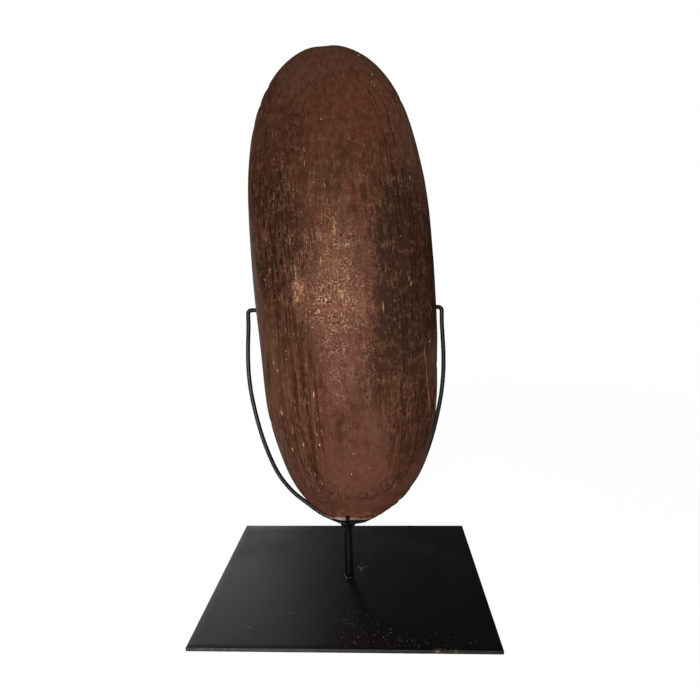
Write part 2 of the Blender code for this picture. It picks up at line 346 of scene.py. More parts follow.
def grown(data, group, **sizes):
    """The plain mesh that a Geometry Nodes group makes of a curve or a mesh."""
    seed = new_object("seed", data)
    modifier = seed.modifiers.new("grow", "NODES")
    modifier.node_group = group
    for item in group.interface.items_tree:
        label = item.name.replace(" ", "_")
        if item.in_out == "INPUT" and label in sizes:
            modifier[item.identifier] = sizes[label]
    made = seed.evaluated_get(bpy.context.evaluated_depsgraph_get())
    mesh = bpy.data.meshes.new_from_object(made)
    seed.modifiers.remove(modifier)
    bpy.data.objects.remove(seed)
    return mesh


def bar_group():
    """Sweep a round section along a path, round its two ends, and leave it a little uneven."""
    tree, (path, radius, sides, round_end, wave, finish) = group_tree(
        "round_bar", Radius="Float", Sides="Int", End_round="Float", Wave="Float", Finish="Material"
    )
    along = tree.add("GeometryNodeSplineParameter", output=1)
    whole = tree.add("GeometryNodeSplineLength")
    from_end = along.maths("MINIMUM", whole - along)
    missing = (1 - from_end / round_end).maths("MAXIMUM", 0.0)
    taper = (1 - missing * missing * 0.97).maths("SQRT")
    shaped = tree.add("GeometryNodeSetCurveRadius", {"Curve": path, "Radius": taper})
    section = tree.add("GeometryNodeCurvePrimitiveCircle", {"Resolution": sides, "Radius": radius})
    sockets = {"Curve": shaped, "Profile Curve": section, "Scale": taper, "Fill Caps": True}
    bar = tree.add("GeometryNodeCurveToMesh", sockets)
    uneven = tree.noise(tree.add("GeometryNodeInputPosition"), 90.0, 2.0) - 0.5
    return close_group(tree, pushed_out(tree, bar, uneven * wave), finish)


def path_curve(points):
    """A curve object's data through some points."""
    curve = bpy.data.curves.new("path", "CURVE")
    curve.dimensions = "3D"
    spline = curve.splines.new("POLY")
    spline.points.add(len(points) - 1)
    for knot, point in zip(spline.points, points):
        knot.co = (*point, 1)
    return curve


def with_fine_ends(points, reach):
    """The same path with close points over the last reach at both ends, so that they can be rounded."""
    steps = [1 - math.cos(math.pi / 2 * i / END_STEPS) for i in range(END_STEPS)]
    first = (points[1] - points[0]).normalized()
    last = (points[-2] - points[-1]).normalized()
    head = [points[0] + first * reach * step for step in steps]
    tail = [points[-1] + last * reach * step for step in reversed(steps)]
    inner = [p for p in points if min((p - points[0]).length, (p - points[-1]).length) > reach]
    return head + inner + tail


bar_finish = bar_paint()
bar_sweep = bar_group()


def add_bar(name, points, radius, end_round, replaced):
    """A painted round bar along a path, which stands for one of the solids."""
    path = path_curve(with_fine_ends(points, end_round))
    sizes = {"Radius": radius, "Sides": BAR_SIDES, "End_round": end_round, "Wave": BAR_WAVE}
    mesh = grown(path, bar_sweep, Finish=bar_finish, **sizes)
    return add_piece(name, mesh, bar_finish, replaced=replaced)


stem_foot = Vector((0, 0, PLATE_HIGH.z - PLATE_WAVE))
stem_head = Vector((0, 0, STEM_HIGH.z))
stem_line = [stem_foot.lerp(stem_head, i / STEM_STEPS) for i in range(STEM_STEPS + 1)]
add_bar("upright_stem", stem_line, STEM_RADIUS, STEM_ROUND, "stem")


# Cradle: one quarter-inch rod, bent cold. It passes over the stem under the shield's toe, rises
# behind both flanks, and its two tips are turned in sharply so that the rim leans on them.
ROD_RADIUS = 0.0032
ROD_ROUND = 0.0012
CONTACT_GAP = 0.0003
LEAN_BACK = math.radians(4.0)
LEAN_SIDE = math.radians(3.0)
SHIELD_LENGTH = 0.705
SHIELD_BOW = 0.008
RIM_THICKNESS = 0.010
SHIELD_OFFSET = -0.004
ARM_SPAN = 0.294
ARM_RISE = 0.3265
ARM_STEP_BACK = 0.032
ARM_SKEW = 0.004
ARM_SKEW_REACH = 0.040
TIP_REACH = 0.027
TIP_BEND = 0.0055
# One arm from the stem up to its bend, as shares of half the span and of the rise.
ARM_CURVE = (
    (0.0, 0.0), (0.05, 0.001), (0.10, 0.003), (0.15, 0.007), (0.20, 0.013), (0.30, 0.036),
    (0.427, 0.081), (0.600, 0.150), (0.745, 0.246), (0.868, 0.391), (0.952, 0.545), (0.992, 0.668),
    (1.0, 0.785), (0.985, 0.930),
)
CRADLE_BOTTOM = STEM_HIGH.z + CONTACT_GAP + ROD_RADIUS
lean = Matrix.Rotation(-LEAN_BACK, 4, "X") @ Matrix.Rotation(-LEAN_SIDE, 4, "Y")
toe = lean @ Vector((0, -RIM_THICKNESS / 2, -SHIELD_LENGTH / 2))
shield_place = Vector((SHIELD_OFFSET, -toe.y, 0))
solid_points = [vertex.co.copy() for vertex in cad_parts["shield"].data.vertices]
upright = [(lean.inverted() @ (point - shield_place)).z for point in solid_points]
shield_place.z = (min(upright) + max(upright)) / 2 / lean[2][2]
shield_pose = Matrix.Translation(shield_place) @ lean


def smooth_step(value):
    """Ease from 0 to 1 while the value goes from 0 to 1."""
    share = np.clip(value, 0.0, 1.0)
    return share * share * (3 - 2 * share)


def bow(height):
    """How far the long bow of the whole shield carries its back forward."""
    return SHIELD_BOW * (1 - np.minimum(np.abs(height) / (SHIELD_LENGTH / 2), 1.0) ** 2)


def rim_back(height):
    """How far back the rim's rear face lies at a height above the floor."""
    along = (height - shield_place.z) / (math.cos(LEAN_BACK) * math.cos(LEAN_SIDE))
    return (shield_pose @ Vector((0, -bow(along), along))).y


def under_rim(across):
    """Height of the shield's underside near a distance across the stand."""
    return min(point.z for point in solid_points if abs(point.x - across) < 2 * ROD_RADIUS)


def arm_point(across, up):
    """A point of the rod's middle line: close under the shield's toe, then behind its rim."""
    clearance = ROD_RADIUS + CONTACT_GAP
    clear = float(smooth_step(abs(across) / ARM_STEP_BACK))
    across += ARM_SKEW * clear * math.exp(-up / ARM_SKEW_REACH)
    height = CRADLE_BOTTOM + up
    if clear < 1:
        height = min(height, under_rim(across) - clearance)
    behind = rim_back(height) + clearance / math.cos(LEAN_BACK)
    return Vector((across, behind * clear, height))


def through(points, steps=8):
    """Points of a smooth curve through the given ones."""
    ends = [2 * points[0] - points[1]] + points + [2 * points[-1] - points[-2]]
    path = []
    for p0, p1, p2, p3 in zip(ends, ends[1:], ends[2:], ends[3:]):
        for i in range(steps):
            t = i / steps
            path.append(0.5 * (2 * p1 + (p2 - p0) * t + (2 * p0 - 5 * p1 + 4 * p2 - p3) * t ** 2
                               + (3 * p1 - p0 - 3 * p2 + p3) * t ** 3))
    return path + [points[-1].copy()]


def rounded(corner, before, after, radius, steps=12):
    """Arc that rounds a corner between the points before and after it."""
    first = (before - corner).normalized()
    second = (after - corner).normalized()
    half = first.angle(second) / 2
    start = corner + first * radius / math.tan(half)
    centre = corner + (first + second).normalized() * radius / math.sin(half)
    spoke = start - centre
    axis = first.cross(second)
    turn = math.pi - 2 * half
    return [centre + Matrix.Rotation(-turn * i / steps, 3, axis) @ spoke for i in range(steps + 1)]


def arm_line(side):
    """Half of the cradle, from the stem to its tip."""
    knots = [arm_point(side * ARM_SPAN / 2 * x, ARM_RISE * z) for x, z in ARM_CURVE]
    corner = arm_point(knots[-1].x, ARM_RISE)
    tip = arm_point(knots[-1].x - side * TIP_REACH, ARM_RISE)
    bend = rounded(corner, knots[-1], tip, TIP_BEND)
    return through(knots) + bend + [corner.lerp(tip, 0.6), tip]


left_arm, right_arm = (arm_line(side) for side in (-1, 1))
add_bar("cradle_bar", left_arm[:0:-1] + right_arm, ROD_RADIUS, ROD_ROUND, "cradle_rod")


# Prong: an offcut of 6 mm rod, welded to the front of the stem with its rounded end leaning
# forward, so that the shield's toe can't slide off the cradle.
PRONG_RADIUS = 0.003
PRONG_ROUND = 0.0022
PRONG_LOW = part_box("front_prong")[0]
PRONG_BEND = 0.004
PRONG_REACH = 0.0195
PRONG_LEAN = math.radians(23.5)
prong_front = -(STEM_RADIUS + CONTACT_GAP + PRONG_RADIUS)
prong_foot = Vector((0, prong_front, PRONG_LOW.z))
prong_bend = Vector((0, prong_front, CRADLE_BOTTOM))
prong_tip = prong_bend + PRONG_REACH * Vector((0, -math.sin(PRONG_LEAN), math.cos(PRONG_LEAN)))
prong_line = [prong_foot] + rounded(prong_bend, prong_foot, prong_tip, PRONG_BEND, 10) + [prong_tip]
add_bar("toe_prong", prong_line, PRONG_RADIUS, PRONG_ROUND, "front_prong")


# Welds: short runs of bead that hold stem to plate, cradle to stem and prong to stem. They are left
# as laid, with the ripple of each bead under the paint, and roughest on the stem's front left.
BEAD_CELL = 0.00030
BEAD_LUMP = 0.0004
FOOT_BEADS = 30
FOOT_BEAD = 0.0011
# Spatter by the stem's foot: place across, depth and radius.
SPATTER = ((-0.0066, -0.0055, 0.0008), (0.0035, -0.0088, 0.0006), (0.0002, -0.0080, 0.0009))
CRADLE_BEADS = 6
PRONG_BEADS = 7
LOW_BEADS = 4


def uneven_scale(tree, least, most, seed):
    """Each point's own size, a little different in its three directions."""
    sockets = {0: least, 1: most, "Seed": seed}
    uneven = tree.add("FunctionNodeRandomValue", sockets, data_type="FLOAT_VECTOR")
    return tree.add("ShaderNodeVectorMath", {0: uneven, 3: tree.carried("bead")}, operation="SCALE")


def bead_group():
    """Fuse a row of uneven beads into one skin."""
    tree, (places, lump, cell, seed, finish) = group_tree(
        "weld_beads", Lump="Float", Cell="Float", Seed="Int", Finish="Material"
    )
    bead = tree.add("GeometryNodeMeshIcoSphere", {"Radius": 1.0, "Subdivisions": 3})
    scale = uneven_scale(tree, (0.82, 0.82, 0.82), (1.15, 1.15, 1.15), seed)
    sockets = {"Points": places, "Instance": bead, "Scale": scale}
    row = tree.add("GeometryNodeInstanceOnPoints", sockets)
    real = tree.add("GeometryNodeRealizeInstances", (row,))
    sockets = {"Mesh": real, "Voxel Size": cell, "Interior Band Width": 0.003}
    filled = tree.add("GeometryNodeMeshToVolume", sockets, resolution_mode="VOXEL_SIZE")
    sockets = {"Volume": filled, "Voxel Size": cell, "Threshold": 0.1}
    skin = tree.add("GeometryNodeVolumeToMesh", sockets, resolution_mode="VOXEL_SIZE")
    grain = tree.noise(tree.add("GeometryNodeInputPosition"), 900.0, 2.0) - 0.5
    return close_group(tree, pushed_out(tree, skin, grain * lump), finish)


def bead_places(beads):
    """A mesh of loose points, each with its bead's radius."""
    mesh = bpy.data.meshes.new("beads")
    mesh.from_pydata([place for place, radius in beads], [], [])
    sizes = mesh.attributes.new("bead", "FLOAT", "POINT")
    sizes.data.foreach_set("value", [radius for place, radius in beads])
    return mesh


def foot_beads():
    """A small fillet all round the stem's foot, with a little spatter in front."""
    beads = []
    ring = STEM_RADIUS + BEAD_CELL
    for i in range(FOOT_BEADS):
        turn = math.tau * i / FOOT_BEADS
        place = (ring * math.cos(turn), ring * math.sin(turn), PLATE_HIGH.z + BEAD_CELL / 3)
        beads.append((place, FOOT_BEAD + 0.0002 * math.sin(7 * turn)))
    for across, depth, radius in SPATTER:
        beads.append(((across, depth, PLATE_HIGH.z + BEAD_CELL), radius))
    return beads


def head_beads():
    """Fillets under both runs of the cradle, and the bead down the left of the prong's foot."""
    beads = []
    for side in (-1, 1):
        for share in np.linspace(0, 1, CRADLE_BEADS).tolist():
            across = side * (0.0054 + 0.0048 * share)
            place = (across, 0.0006 * share, STEM_HIGH.z - 0.0036 * (1 - share) ** 1.5)
            beads.append((place, 0.0021 - 0.0009 * share))
        beads.append(((side * 0.0074, 0.0003, STEM_HIGH.z - 0.0006), 0.0017))
        beads.append(((side * 0.0066, 0.0000, STEM_HIGH.z - 0.0016), 0.0017))
        for depth in (-0.0042, 0.0042):
            beads.append(((side * 0.0025, depth, STEM_HIGH.z + 0.0002), 0.0016))
    for share in np.linspace(0, 1, PRONG_BEADS).tolist():
        across = -0.0034 + 0.0006 * math.sin(9 * share)
        place = (across, prong_front + 0.0022, PRONG_LOW.z + 0.0078 * share)
        beads.append((place, 0.0014 + 0.0003 * math.sin(5 * share)))
    for i in range(LOW_BEADS):
        height = PRONG_LOW.z - 0.0004 - 0.0004 * math.sin(2.0 * i)
        beads.append(((-0.0030 + 0.0018 * i, prong_front + 0.0020, height), 0.0013))
    return beads


bead_skin = bead_group()


def add_weld(name, beads, seed):
    """A run of weld bead, painted over."""
    sizes = {"Lump": BEAD_LUMP, "Cell": BEAD_CELL, "Seed": seed}
    mesh = grown(bead_places(beads), bead_skin, Finish=bar_finish, **sizes)
    return add_piece(name, mesh, bar_finish)


add_weld("stem_foot_weld", foot_beads(), 3)
add_weld("cradle_weld", head_beads(), 8)


# Crumbs: grit and flakes of ochre that have dropped from the shield onto the plate, most of them in
# front of the stem and along the plate's front edge.
CRUMB_MARGIN = 0.002
WOOD_DUST = (0.720, 0.710, 0.690)
OCHRE_DUST = (0.460, 0.310, 0.200)
# Each heap: place across and its spread, place in depth and its spread, number of crumbs and size.
CRUMB_HEAPS = (
    (-0.003, 0.0030, -0.0095, 0.0020, 7, 0.0003), (0.0187, 0.0038, 0.0240, 0.0048, 18, 0.0004),
    (0.012, 0.022, -0.118, 0.018, 70, 0.0003), (0.060, 0.055, -0.156, 0.010, 100, 0.0003),
    (-0.078, 0.010, -0.100, 0.004, 7, 0.0004), (-0.125, 0.004, -0.128, 0.004, 3, 0.0005),
    (0.020, 0.180, -0.060, 0.100, 50, 0.00022),
)


def crumb_group():
    """Set a small uneven grain on each point."""
    tree, (places, finish) = group_tree("crumbs", Finish="Material")
    grain = tree.add("GeometryNodeMeshIcoSphere", {"Radius": 1.0, "Subdivisions": 1})
    scale = uneven_scale(tree, (0.5, 0.5, 0.4), (1.5, 1.5, 0.9), 5)
    sockets = {0: (0.0, 0.0, 0.0), 1: (0.4, 0.4, math.tau), "Seed": 11}
    turn = tree.add("FunctionNodeRandomValue", sockets, data_type="FLOAT_VECTOR")
    sockets = {"Points": places, "Instance": grain, "Rotation": turn, "Scale": scale}
    return close_group(tree, tree.add("GeometryNodeInstanceOnPoints", sockets), finish)


def crumb_dust():
    """Pale wood dust and ochre."""
    material, tree, shader = new_material("crumb_dust")
    tint = tree.noise(tree.own_place(), 400.0, 1.0)
    colour = tree.mix(tint.ease(0.4, 0.6), WOOD_DUST, OCHRE_DUST)
    wire(tree, shader, tint, 0.0001, Base_Color=colour, Roughness=0.7 + 0.2 * tint)
    return material


def add_crumbs():
    """Scatter the crumbs in their heaps."""
    chance = np.random.default_rng(7)
    reach_x, reach_y = (PLATE_HIGH.x - CRUMB_MARGIN, PLATE_HIGH.y - CRUMB_MARGIN)
    beads = []
    for across, across_spread, depth, depth_spread, count, size in CRUMB_HEAPS:
        for x, y in chance.normal((across, depth), (across_spread, depth_spread), (count, 2)):
            radius = size * chance.uniform(0.5, 1.2)
            inside = abs(x) < reach_x and abs(y) < reach_y
            if inside and math.hypot(x, y) > STEM_RADIUS + CRUMB_MARGIN / 2:
                beads.append(((x, y, PLATE_HIGH.z), radius))
    finish = crumb_dust()
    mesh = grown(bead_places(beads), crumb_group(), Finish=finish)
    add_piece("plate_crumbs", mesh, finish)


add_crumbs()


# Shield: one piece of light beanwood. Its front is a long oval dome, cut with a narrow gouge in fine
# flutes from end to end and rubbed with red ochre; handling has worn the middle, and a highlight is
# painted over it. Its back is nearly flat and coarser, and the grip is a bar of the same wood, left
# standing over an oval hollow.
SHIELD_WIDTH = 0.266
SHIELD_DEPTH = 0.080
CROWN_RISE = SHIELD_DEPTH - SHIELD_BOW - RIM_THICKNESS
FINE_LENGTH = 0.703
END_FULLNESS = 3.35
AXIS_SWAY = 0.005
TOE_SKEW = -0.004
TOE_SKEW_REACH = 0.014
RIM_ROUND = 0.004
BACK_HOLLOW = 0.005
HOLLOW_FADE = 0.045
CROWN_LENGTH_POWER = 2.4
CROWN_END_POWER = 0.8
CROWN_CROSS_POWER = 1.1
RECESS_LENGTH = 0.170
RECESS_WIDTH = 0.100
RECESS_DEPTH = 0.044
GRIP_WIDTH = 0.024
GRIP_THICKNESS = 0.017
GRIP_FLARE = 0.005
GRIP_SETBACK = 0.004
SHIELD_ROWS = 262
FRONT_COLUMNS = 248
RIM_COLUMNS = 5
BACK_COLUMNS = 78
END_TURN = 0.05
MIDDLE_CROWDING = 0.5
OVAL_SIDES = 64
RECESS_ROWS = 25
GRIP_SIDES = 32
GRIP_ROWS = 42
LIP_DROP = 0.0011
LIP_EASE = 0.005
# Each lip's end, the place across and the height of its arc's middle, and how fast the arc curls.
LIPS = ((-1, 0.0095, 0.310, 7.5), (1, 0.035, 0.302, 4.8))
# Nicks in the rim: side, height, length along the rim, and depth.
NICKS = (
    (-1, 0.297, 0.004, 0.0009), (-1, 0.273, 0.003, 0.0009), (-1, 0.243, 0.006, 0.0006),
    (1, -0.337, 0.0025, 0.0018), (1, -0.331, 0.0020, 0.0014), (1, -0.322, 0.0025, 0.0012),
    (1, -0.300, 0.003, 0.0008), (1, 0.262, 0.005, 0.0006), (-1, -0.190, 0.006, 0.0006),
    (1, -0.120, 0.004, 0.0006),
)
# Longer places where the outline is flatter than an oval, in the same terms.
FLATS = (
    (-1, -0.095, 0.075, 0.0030), (-1, -0.235, 0.050, 0.0024), (1, 0.200, 0.080, 0.0022),
    (1, -0.115, 0.040, 0.0014),
)
# Shares of the half width where a nick or a flat begins, and where it has its full depth.
NICK_START = 0.93
FLAT_START = 0.30
NICK_FULL = 0.99
# Worm holes: place across, height and radius.
WORM_HOLES = (
    (0.0019, 0.0564, 0.0014), (0.0172, 0.0563, 0.0011), (-0.0201, -0.0153, 0.0015),
    (0.0060, -0.0060, 0.0008),
)
WORM_HOLE_DEPTH = 0.004
WORM_HOLE_SIDES = 12
# How much wider than a worm hole its dark mouth and its pale rim are.
MOUTH_SPREAD = 1.5
RIM_SPREAD = 3.2
# How much wider than its area a pale fleck is, before its edge frays.
FLECK_SPREAD = 1.15
# How far the front's ochre runs down the rim, and how far from the ends the flutes start and deepen.
OCHRE_EDGE = 0.003
FLUTE_START = 0.030
FLUTE_RUN_IN = 0.070
# The hollow's raw wood begins this far below the back, comes in over the next distance, and lies
# within this share of the half width. The adze marks come in over the last share of it.
RAW_START = 0.0003
RAW_EDGE = 0.002
RAW_SHARE = 0.6
ADZE_EDGE = 0.08
ARC_STEPS = 200


def end_share(height):
    """How far a height lies from the shield's middle, as a share of its half length."""
    return np.minimum(np.abs(height) / (FINE_LENGTH / 2), 1.0)


def half_width(height):
    """Half of the outline's width at a height."""
    return SHIELD_WIDTH / 2 * np.sqrt(np.maximum(1 - end_share(height) ** END_FULLNESS, 1e-5))


def outline_middle(height):
    """Sideways place of the outline's middle line."""
    skew = TOE_SKEW * np.exp(-(height + FINE_LENGTH / 2) / TOE_SKEW_REACH)
    return AXIS_SWAY * (1 - end_share(height) ** 2) + skew


def lip_share(across, height):
    """1 on the plain lips beyond the shoulder arcs at both ends, 0 between them."""
    share = 0
    for end, middle, reach, curl in LIPS:
        arc = reach - curl * (across - middle) ** 2
        share = share + smooth_step((end * height - arc + LIP_EASE) / (2 * LIP_EASE))
    return np.minimum(share, 1.0)


def front_depth(across, height):
    """Depth of the front's surface in front of the plane through the back of both ends."""
    rise = CROWN_RISE * (1 - end_share(height) ** CROWN_LENGTH_POWER) ** CROWN_END_POWER
    side = np.clip((across - outline_middle(height)) / half_width(height), -1.0, 1.0)
    dome = rise * (1 - side * side) ** (CROWN_CROSS_POWER / 2)
    drop = LIP_DROP * lip_share(across, height) * (1 - side ** 6)
    return bow(height) + RIM_THICKNESS + dome - drop


def hollow_depth(height):
    """Depth of the back's slight hollow, which runs out at both ends."""
    return BACK_HOLLOW * smooth_step((FINE_LENGTH / 2 - np.abs(height)) / HOLLOW_FADE)


def end_ease(height):
    """How far the rounding of the two ends draws their faces in."""
    left = np.maximum(RIM_ROUND - (FINE_LENGTH / 2 - np.abs(height)), 0.0)
    return RIM_ROUND - np.sqrt(RIM_ROUND ** 2 - left ** 2)


def shield_row(height):
    """One closed row of points round the shield: front, right rim, back, left rim."""
    half = half_width(height)
    middle = outline_middle(height)
    turns = np.linspace(-math.pi / 2, math.pi / 2, FRONT_COLUMNS + 1)
    across = middle + half * np.sin(turns)
    front = np.stack((across, -front_depth(across, height) + end_ease(height)), axis=1)
    corner = np.linspace(0, math.pi / 2, RIM_COLUMNS)
    flat = max(half - RIM_ROUND, 0.2 * half)
    edge = np.stack((flat + (half - flat) * np.cos(corner), RIM_ROUND * (1 - np.sin(corner))), axis=1)
    share = np.linspace(1, -1, BACK_COLUMNS + 2)[1:-1]
    back = np.stack((flat * share, hollow_depth(height) * (1 - share * share) ** 2), axis=1)
    rest = np.concatenate((edge, back, edge[::-1] * (-1, 1)))
    rest = np.stack((middle + rest[:, 0], -(bow(height) + rest[:, 1]) - end_ease(height)), axis=1)
    ring = np.concatenate((front, rest))
    return np.insert(ring, 2, height, axis=1)


def nicked(points):
    """The points with the outline's nicks and flats pressed towards the middle line."""
    side = (points[:, 0] - outline_middle(points[:, 2])) / half_width(points[:, 2])
    for rows, start in ((NICKS, NICK_START), (FLATS, FLAT_START)):
        for edge, height, length, depth in rows:
            near = np.exp(-((points[:, 2] - height) / length) ** 2)
            press = depth * near * smooth_step((edge * side - start) / (NICK_FULL - start))
            points[:, 0] -= edge * press
            points[:, 2] -= np.sign(height) * press * end_share(height) ** 6
    return points


def rows_mesh(name, rows):
    """A closed mesh through rows of equal length."""
    count = len(rows[0])
    faces = [tuple(range(count))[::-1], tuple(range(len(rows) * count - count, len(rows) * count))]
    for row in range(len(rows) - 1):
        low = row * count
        for i in range(count):
            j = (i + 1) % count
            faces.append((low + i, low + j, low + count + j, low + count + i))
    mesh = bpy.data.meshes.new(name)
    mesh.from_pydata(np.concatenate(rows).tolist(), [], faces)
    bm = bmesh.new()
    bm.from_mesh(mesh)
    bmesh.ops.recalc_face_normals(bm, faces=bm.faces)
    bm.to_mesh(mesh)
    bm.free()
    return mesh


def blank_mesh():
    """The smooth shield, before its grip is cut and its front is fluted."""
    turns = np.linspace(END_TURN, math.pi - END_TURN, SHIELD_ROWS)
    even = np.linspace(-1, 1, SHIELD_ROWS) * math.cos(END_TURN)
    heights = FINE_LENGTH / 2 * (even - MIDDLE_CROWDING * (np.cos(turns) + even))
    rows = np.array([shield_row(height) for height in heights])
    points = nicked(rows.reshape(-1, 3)).reshape(rows.shape)
    return rows_mesh("blank", list(points))


def oval(across, along, depth):
    """A ring of points round an oval at a depth behind the shield's back."""
    turns = np.linspace(0, math.tau, OVAL_SIDES, endpoint=False)
    sideways = outline_middle(0.0) + across * np.cos(turns)
    level = np.full(OVAL_SIDES, depth - bow(0.0))
    return np.stack((sideways, level, along * np.sin(turns)), axis=1)


def recess_mesh():
    """The bowl that is hollowed out behind the grip."""
    half_across = RECESS_WIDTH / 2
    half_along = RECESS_LENGTH / 2
    rows = [oval(half_across, half_along, RECESS_DEPTH / 2)]
    for turn in np.linspace(0, math.pi / 2, RECESS_ROWS + 1)[:-1]:
        share = math.cos(turn)
        rows.append(oval(half_across * share, half_along * share, -RECESS_DEPTH * math.sin(turn)))
    return rows_mesh("recess", rows)


def grip_mesh():
    """The bar that stays standing over the hollow, flared where it runs into the wood."""
    middle = float(outline_middle(0.0))
    depth = -float(bow(0.0)) - GRIP_SETBACK - GRIP_THICKNESS / 2
    reach = RECESS_LENGTH / 2 + RECESS_DEPTH / 4
    rows = []
    turns = np.linspace(0, math.tau, GRIP_SIDES, endpoint=False)
    for height in np.linspace(-reach, reach, GRIP_ROWS):
        flare = GRIP_FLARE * (height / reach) ** 2
        across = middle + (GRIP_WIDTH / 2 + flare) * np.cos(turns)
        back = depth + (GRIP_THICKNESS / 2 + flare / 2) * np.sin(turns)
        rows.append(np.stack((across, back, np.full(GRIP_SIDES, height)), axis=1))
    return rows_mesh("grip", rows)


def worm_hole_mesh():
    """Narrow tapering plugs, one for each worm hole."""
    bm = bmesh.new()
    inward = Matrix.Rotation(-math.pi / 2, 4, "X")
    for across, height, radius in WORM_HOLES:
        middle = WORM_HOLE_DEPTH / 4 - float(front_depth(across, height))
        place = Matrix.Translation((across, middle, height)) @ inward
        sizes = {"radius1": radius, "radius2": radius / 2, "depth": WORM_HOLE_DEPTH}
        bmesh.ops.create_cone(bm, cap_ends=True, segments=WORM_HOLE_SIDES, matrix=place, **sizes)
    mesh = bpy.data.meshes.new("worm_holes")
    bmesh.ops.recalc_face_normals(bm, faces=bm.faces)
    bm.to_mesh(mesh)
    bm.free()
    return mesh


def without(mesh, tool):
    """A mesh with another cut out of it."""
    work, cutter = (new_object("work", data) for data in (mesh, tool))
    cut = work.modifiers.new("cut", "BOOLEAN")
    cut.operation = "DIFFERENCE"
    cut.object = cutter
    made = bpy.data.meshes.new_from_object(work.evaluated_get(bpy.context.evaluated_depsgraph_get()))
    for item in (work, cutter):
        bpy.data.objects.remove(item)
    return made


def arc_of(side):
    """Distance over the dome from its crest, at the shield's middle, for a share of the half width."""
    turns = np.linspace(0, math.pi / 2, ARC_STEPS)
    across = SHIELD_WIDTH / 2 * np.sin(turns)
    rise = CROWN_RISE * np.maximum(np.cos(turns), 0.0) ** CROWN_CROSS_POWER
    steps = np.hypot(np.diff(across), np.diff(rise))
    lengths = np.concatenate(([0.0], np.cumsum(steps)))
    return np.sign(side) * np.interp(np.arcsin(np.abs(side)), turns, lengths)


def mark_places(mesh):
    """Give each point its place on the wood: how far round, how far along, and which face it is on."""
    points = np.zeros(len(mesh.vertices) * 3)
    mesh.vertices.foreach_get("co", points)
    across, depth, along = points.reshape(-1, 3).T
    side = np.clip((across - outline_middle(along)) / half_width(along), -1.0, 1.0)
    below = depth + front_depth(across, along)
    hollow = -depth - bow(along)
    front = 1 - smooth_step(below / OCHRE_EDGE)
    flat = np.maximum(half_width(along) - RIM_ROUND, 1e-4)
    back_hollow = hollow_depth(along) * (1 - np.clip(side * half_width(along) / flat, -1, 1) ** 2) ** 2
    recess = smooth_step((hollow - back_hollow - RAW_START) / RAW_EDGE) * (np.abs(side) < RAW_SHARE)
    recess = (1 - front) * recess
    from_end = FINE_LENGTH / 2 - np.abs(along)
    lip = lip_share(across, along)
    places = {
        "arc": arc_of(side),
        "along": along,
        "across": across,
        "front": front,
        "back": (1 - front) * (1 - recess) * smooth_step((1 - np.abs(side)) / ADZE_EDGE),
        "recess": recess,
        "lip": lip * front,
        "fluted": front * smooth_step((from_end - FLUTE_START) / FLUTE_RUN_IN) * (1 - lip),
    }
    for name, numbers in places.items():
        layer = mesh.attributes.new(name, "FLOAT", "POINT")
        layer.data.foreach_set("value", numbers)


def flute_group():
    """Plough wandering flutes along the grain, strongest on the flanks, and leave the faces uneven."""
    tree, (wood, lane, mask, mark, pitch, depth, wander, quiet, seed, wave, finish) = group_tree(
        "gouge_flutes", Lane="String", Mask="String", Mark="String", Pitch="Float", Depth="Float",
        Wander="Float", Quiet_middle="Float", Seed="Float", Wave="Float", Finish="Material"
    )
    where = tree.carried(lane)
    along = tree.carried("along")
    place = tree.add("ShaderNodeCombineXYZ", (where * 22.0, seed, along * 5.0))
    drift = (tree.noise(place, 1.0, 3.0) - 0.5) * wander
    count = where / pitch + drift
    cut = count.maths("FLOOR")
    phase = (count - cut) * 2 - 1
    stroke = tree.add("ShaderNodeCombineXYZ", (cut * 7.31, seed, along * 11.0))
    pressed = tree.noise(stroke, 1.0, 2.0).ease(0.30, 0.68)
    flank = quiet + (1 - quiet) * abs(where).ease(0.035, 0.085)
    hollow = (1 - phase * phase) * (0.25 + 0.75 * pressed) * flank * tree.carried(mask)
    stored = {"Geometry": wood, "Name": mark, "Value": hollow}
    marked = tree.add("GeometryNodeStoreNamedAttribute", stored, data_type="FLOAT")
    spot = tree.add("GeometryNodeInputPosition")
    swell = (tree.noise(spot, 14.0, 3.0) - 0.5) * wave
    return close_group(tree, pushed_out(tree, marked, swell - hollow * depth), finish)


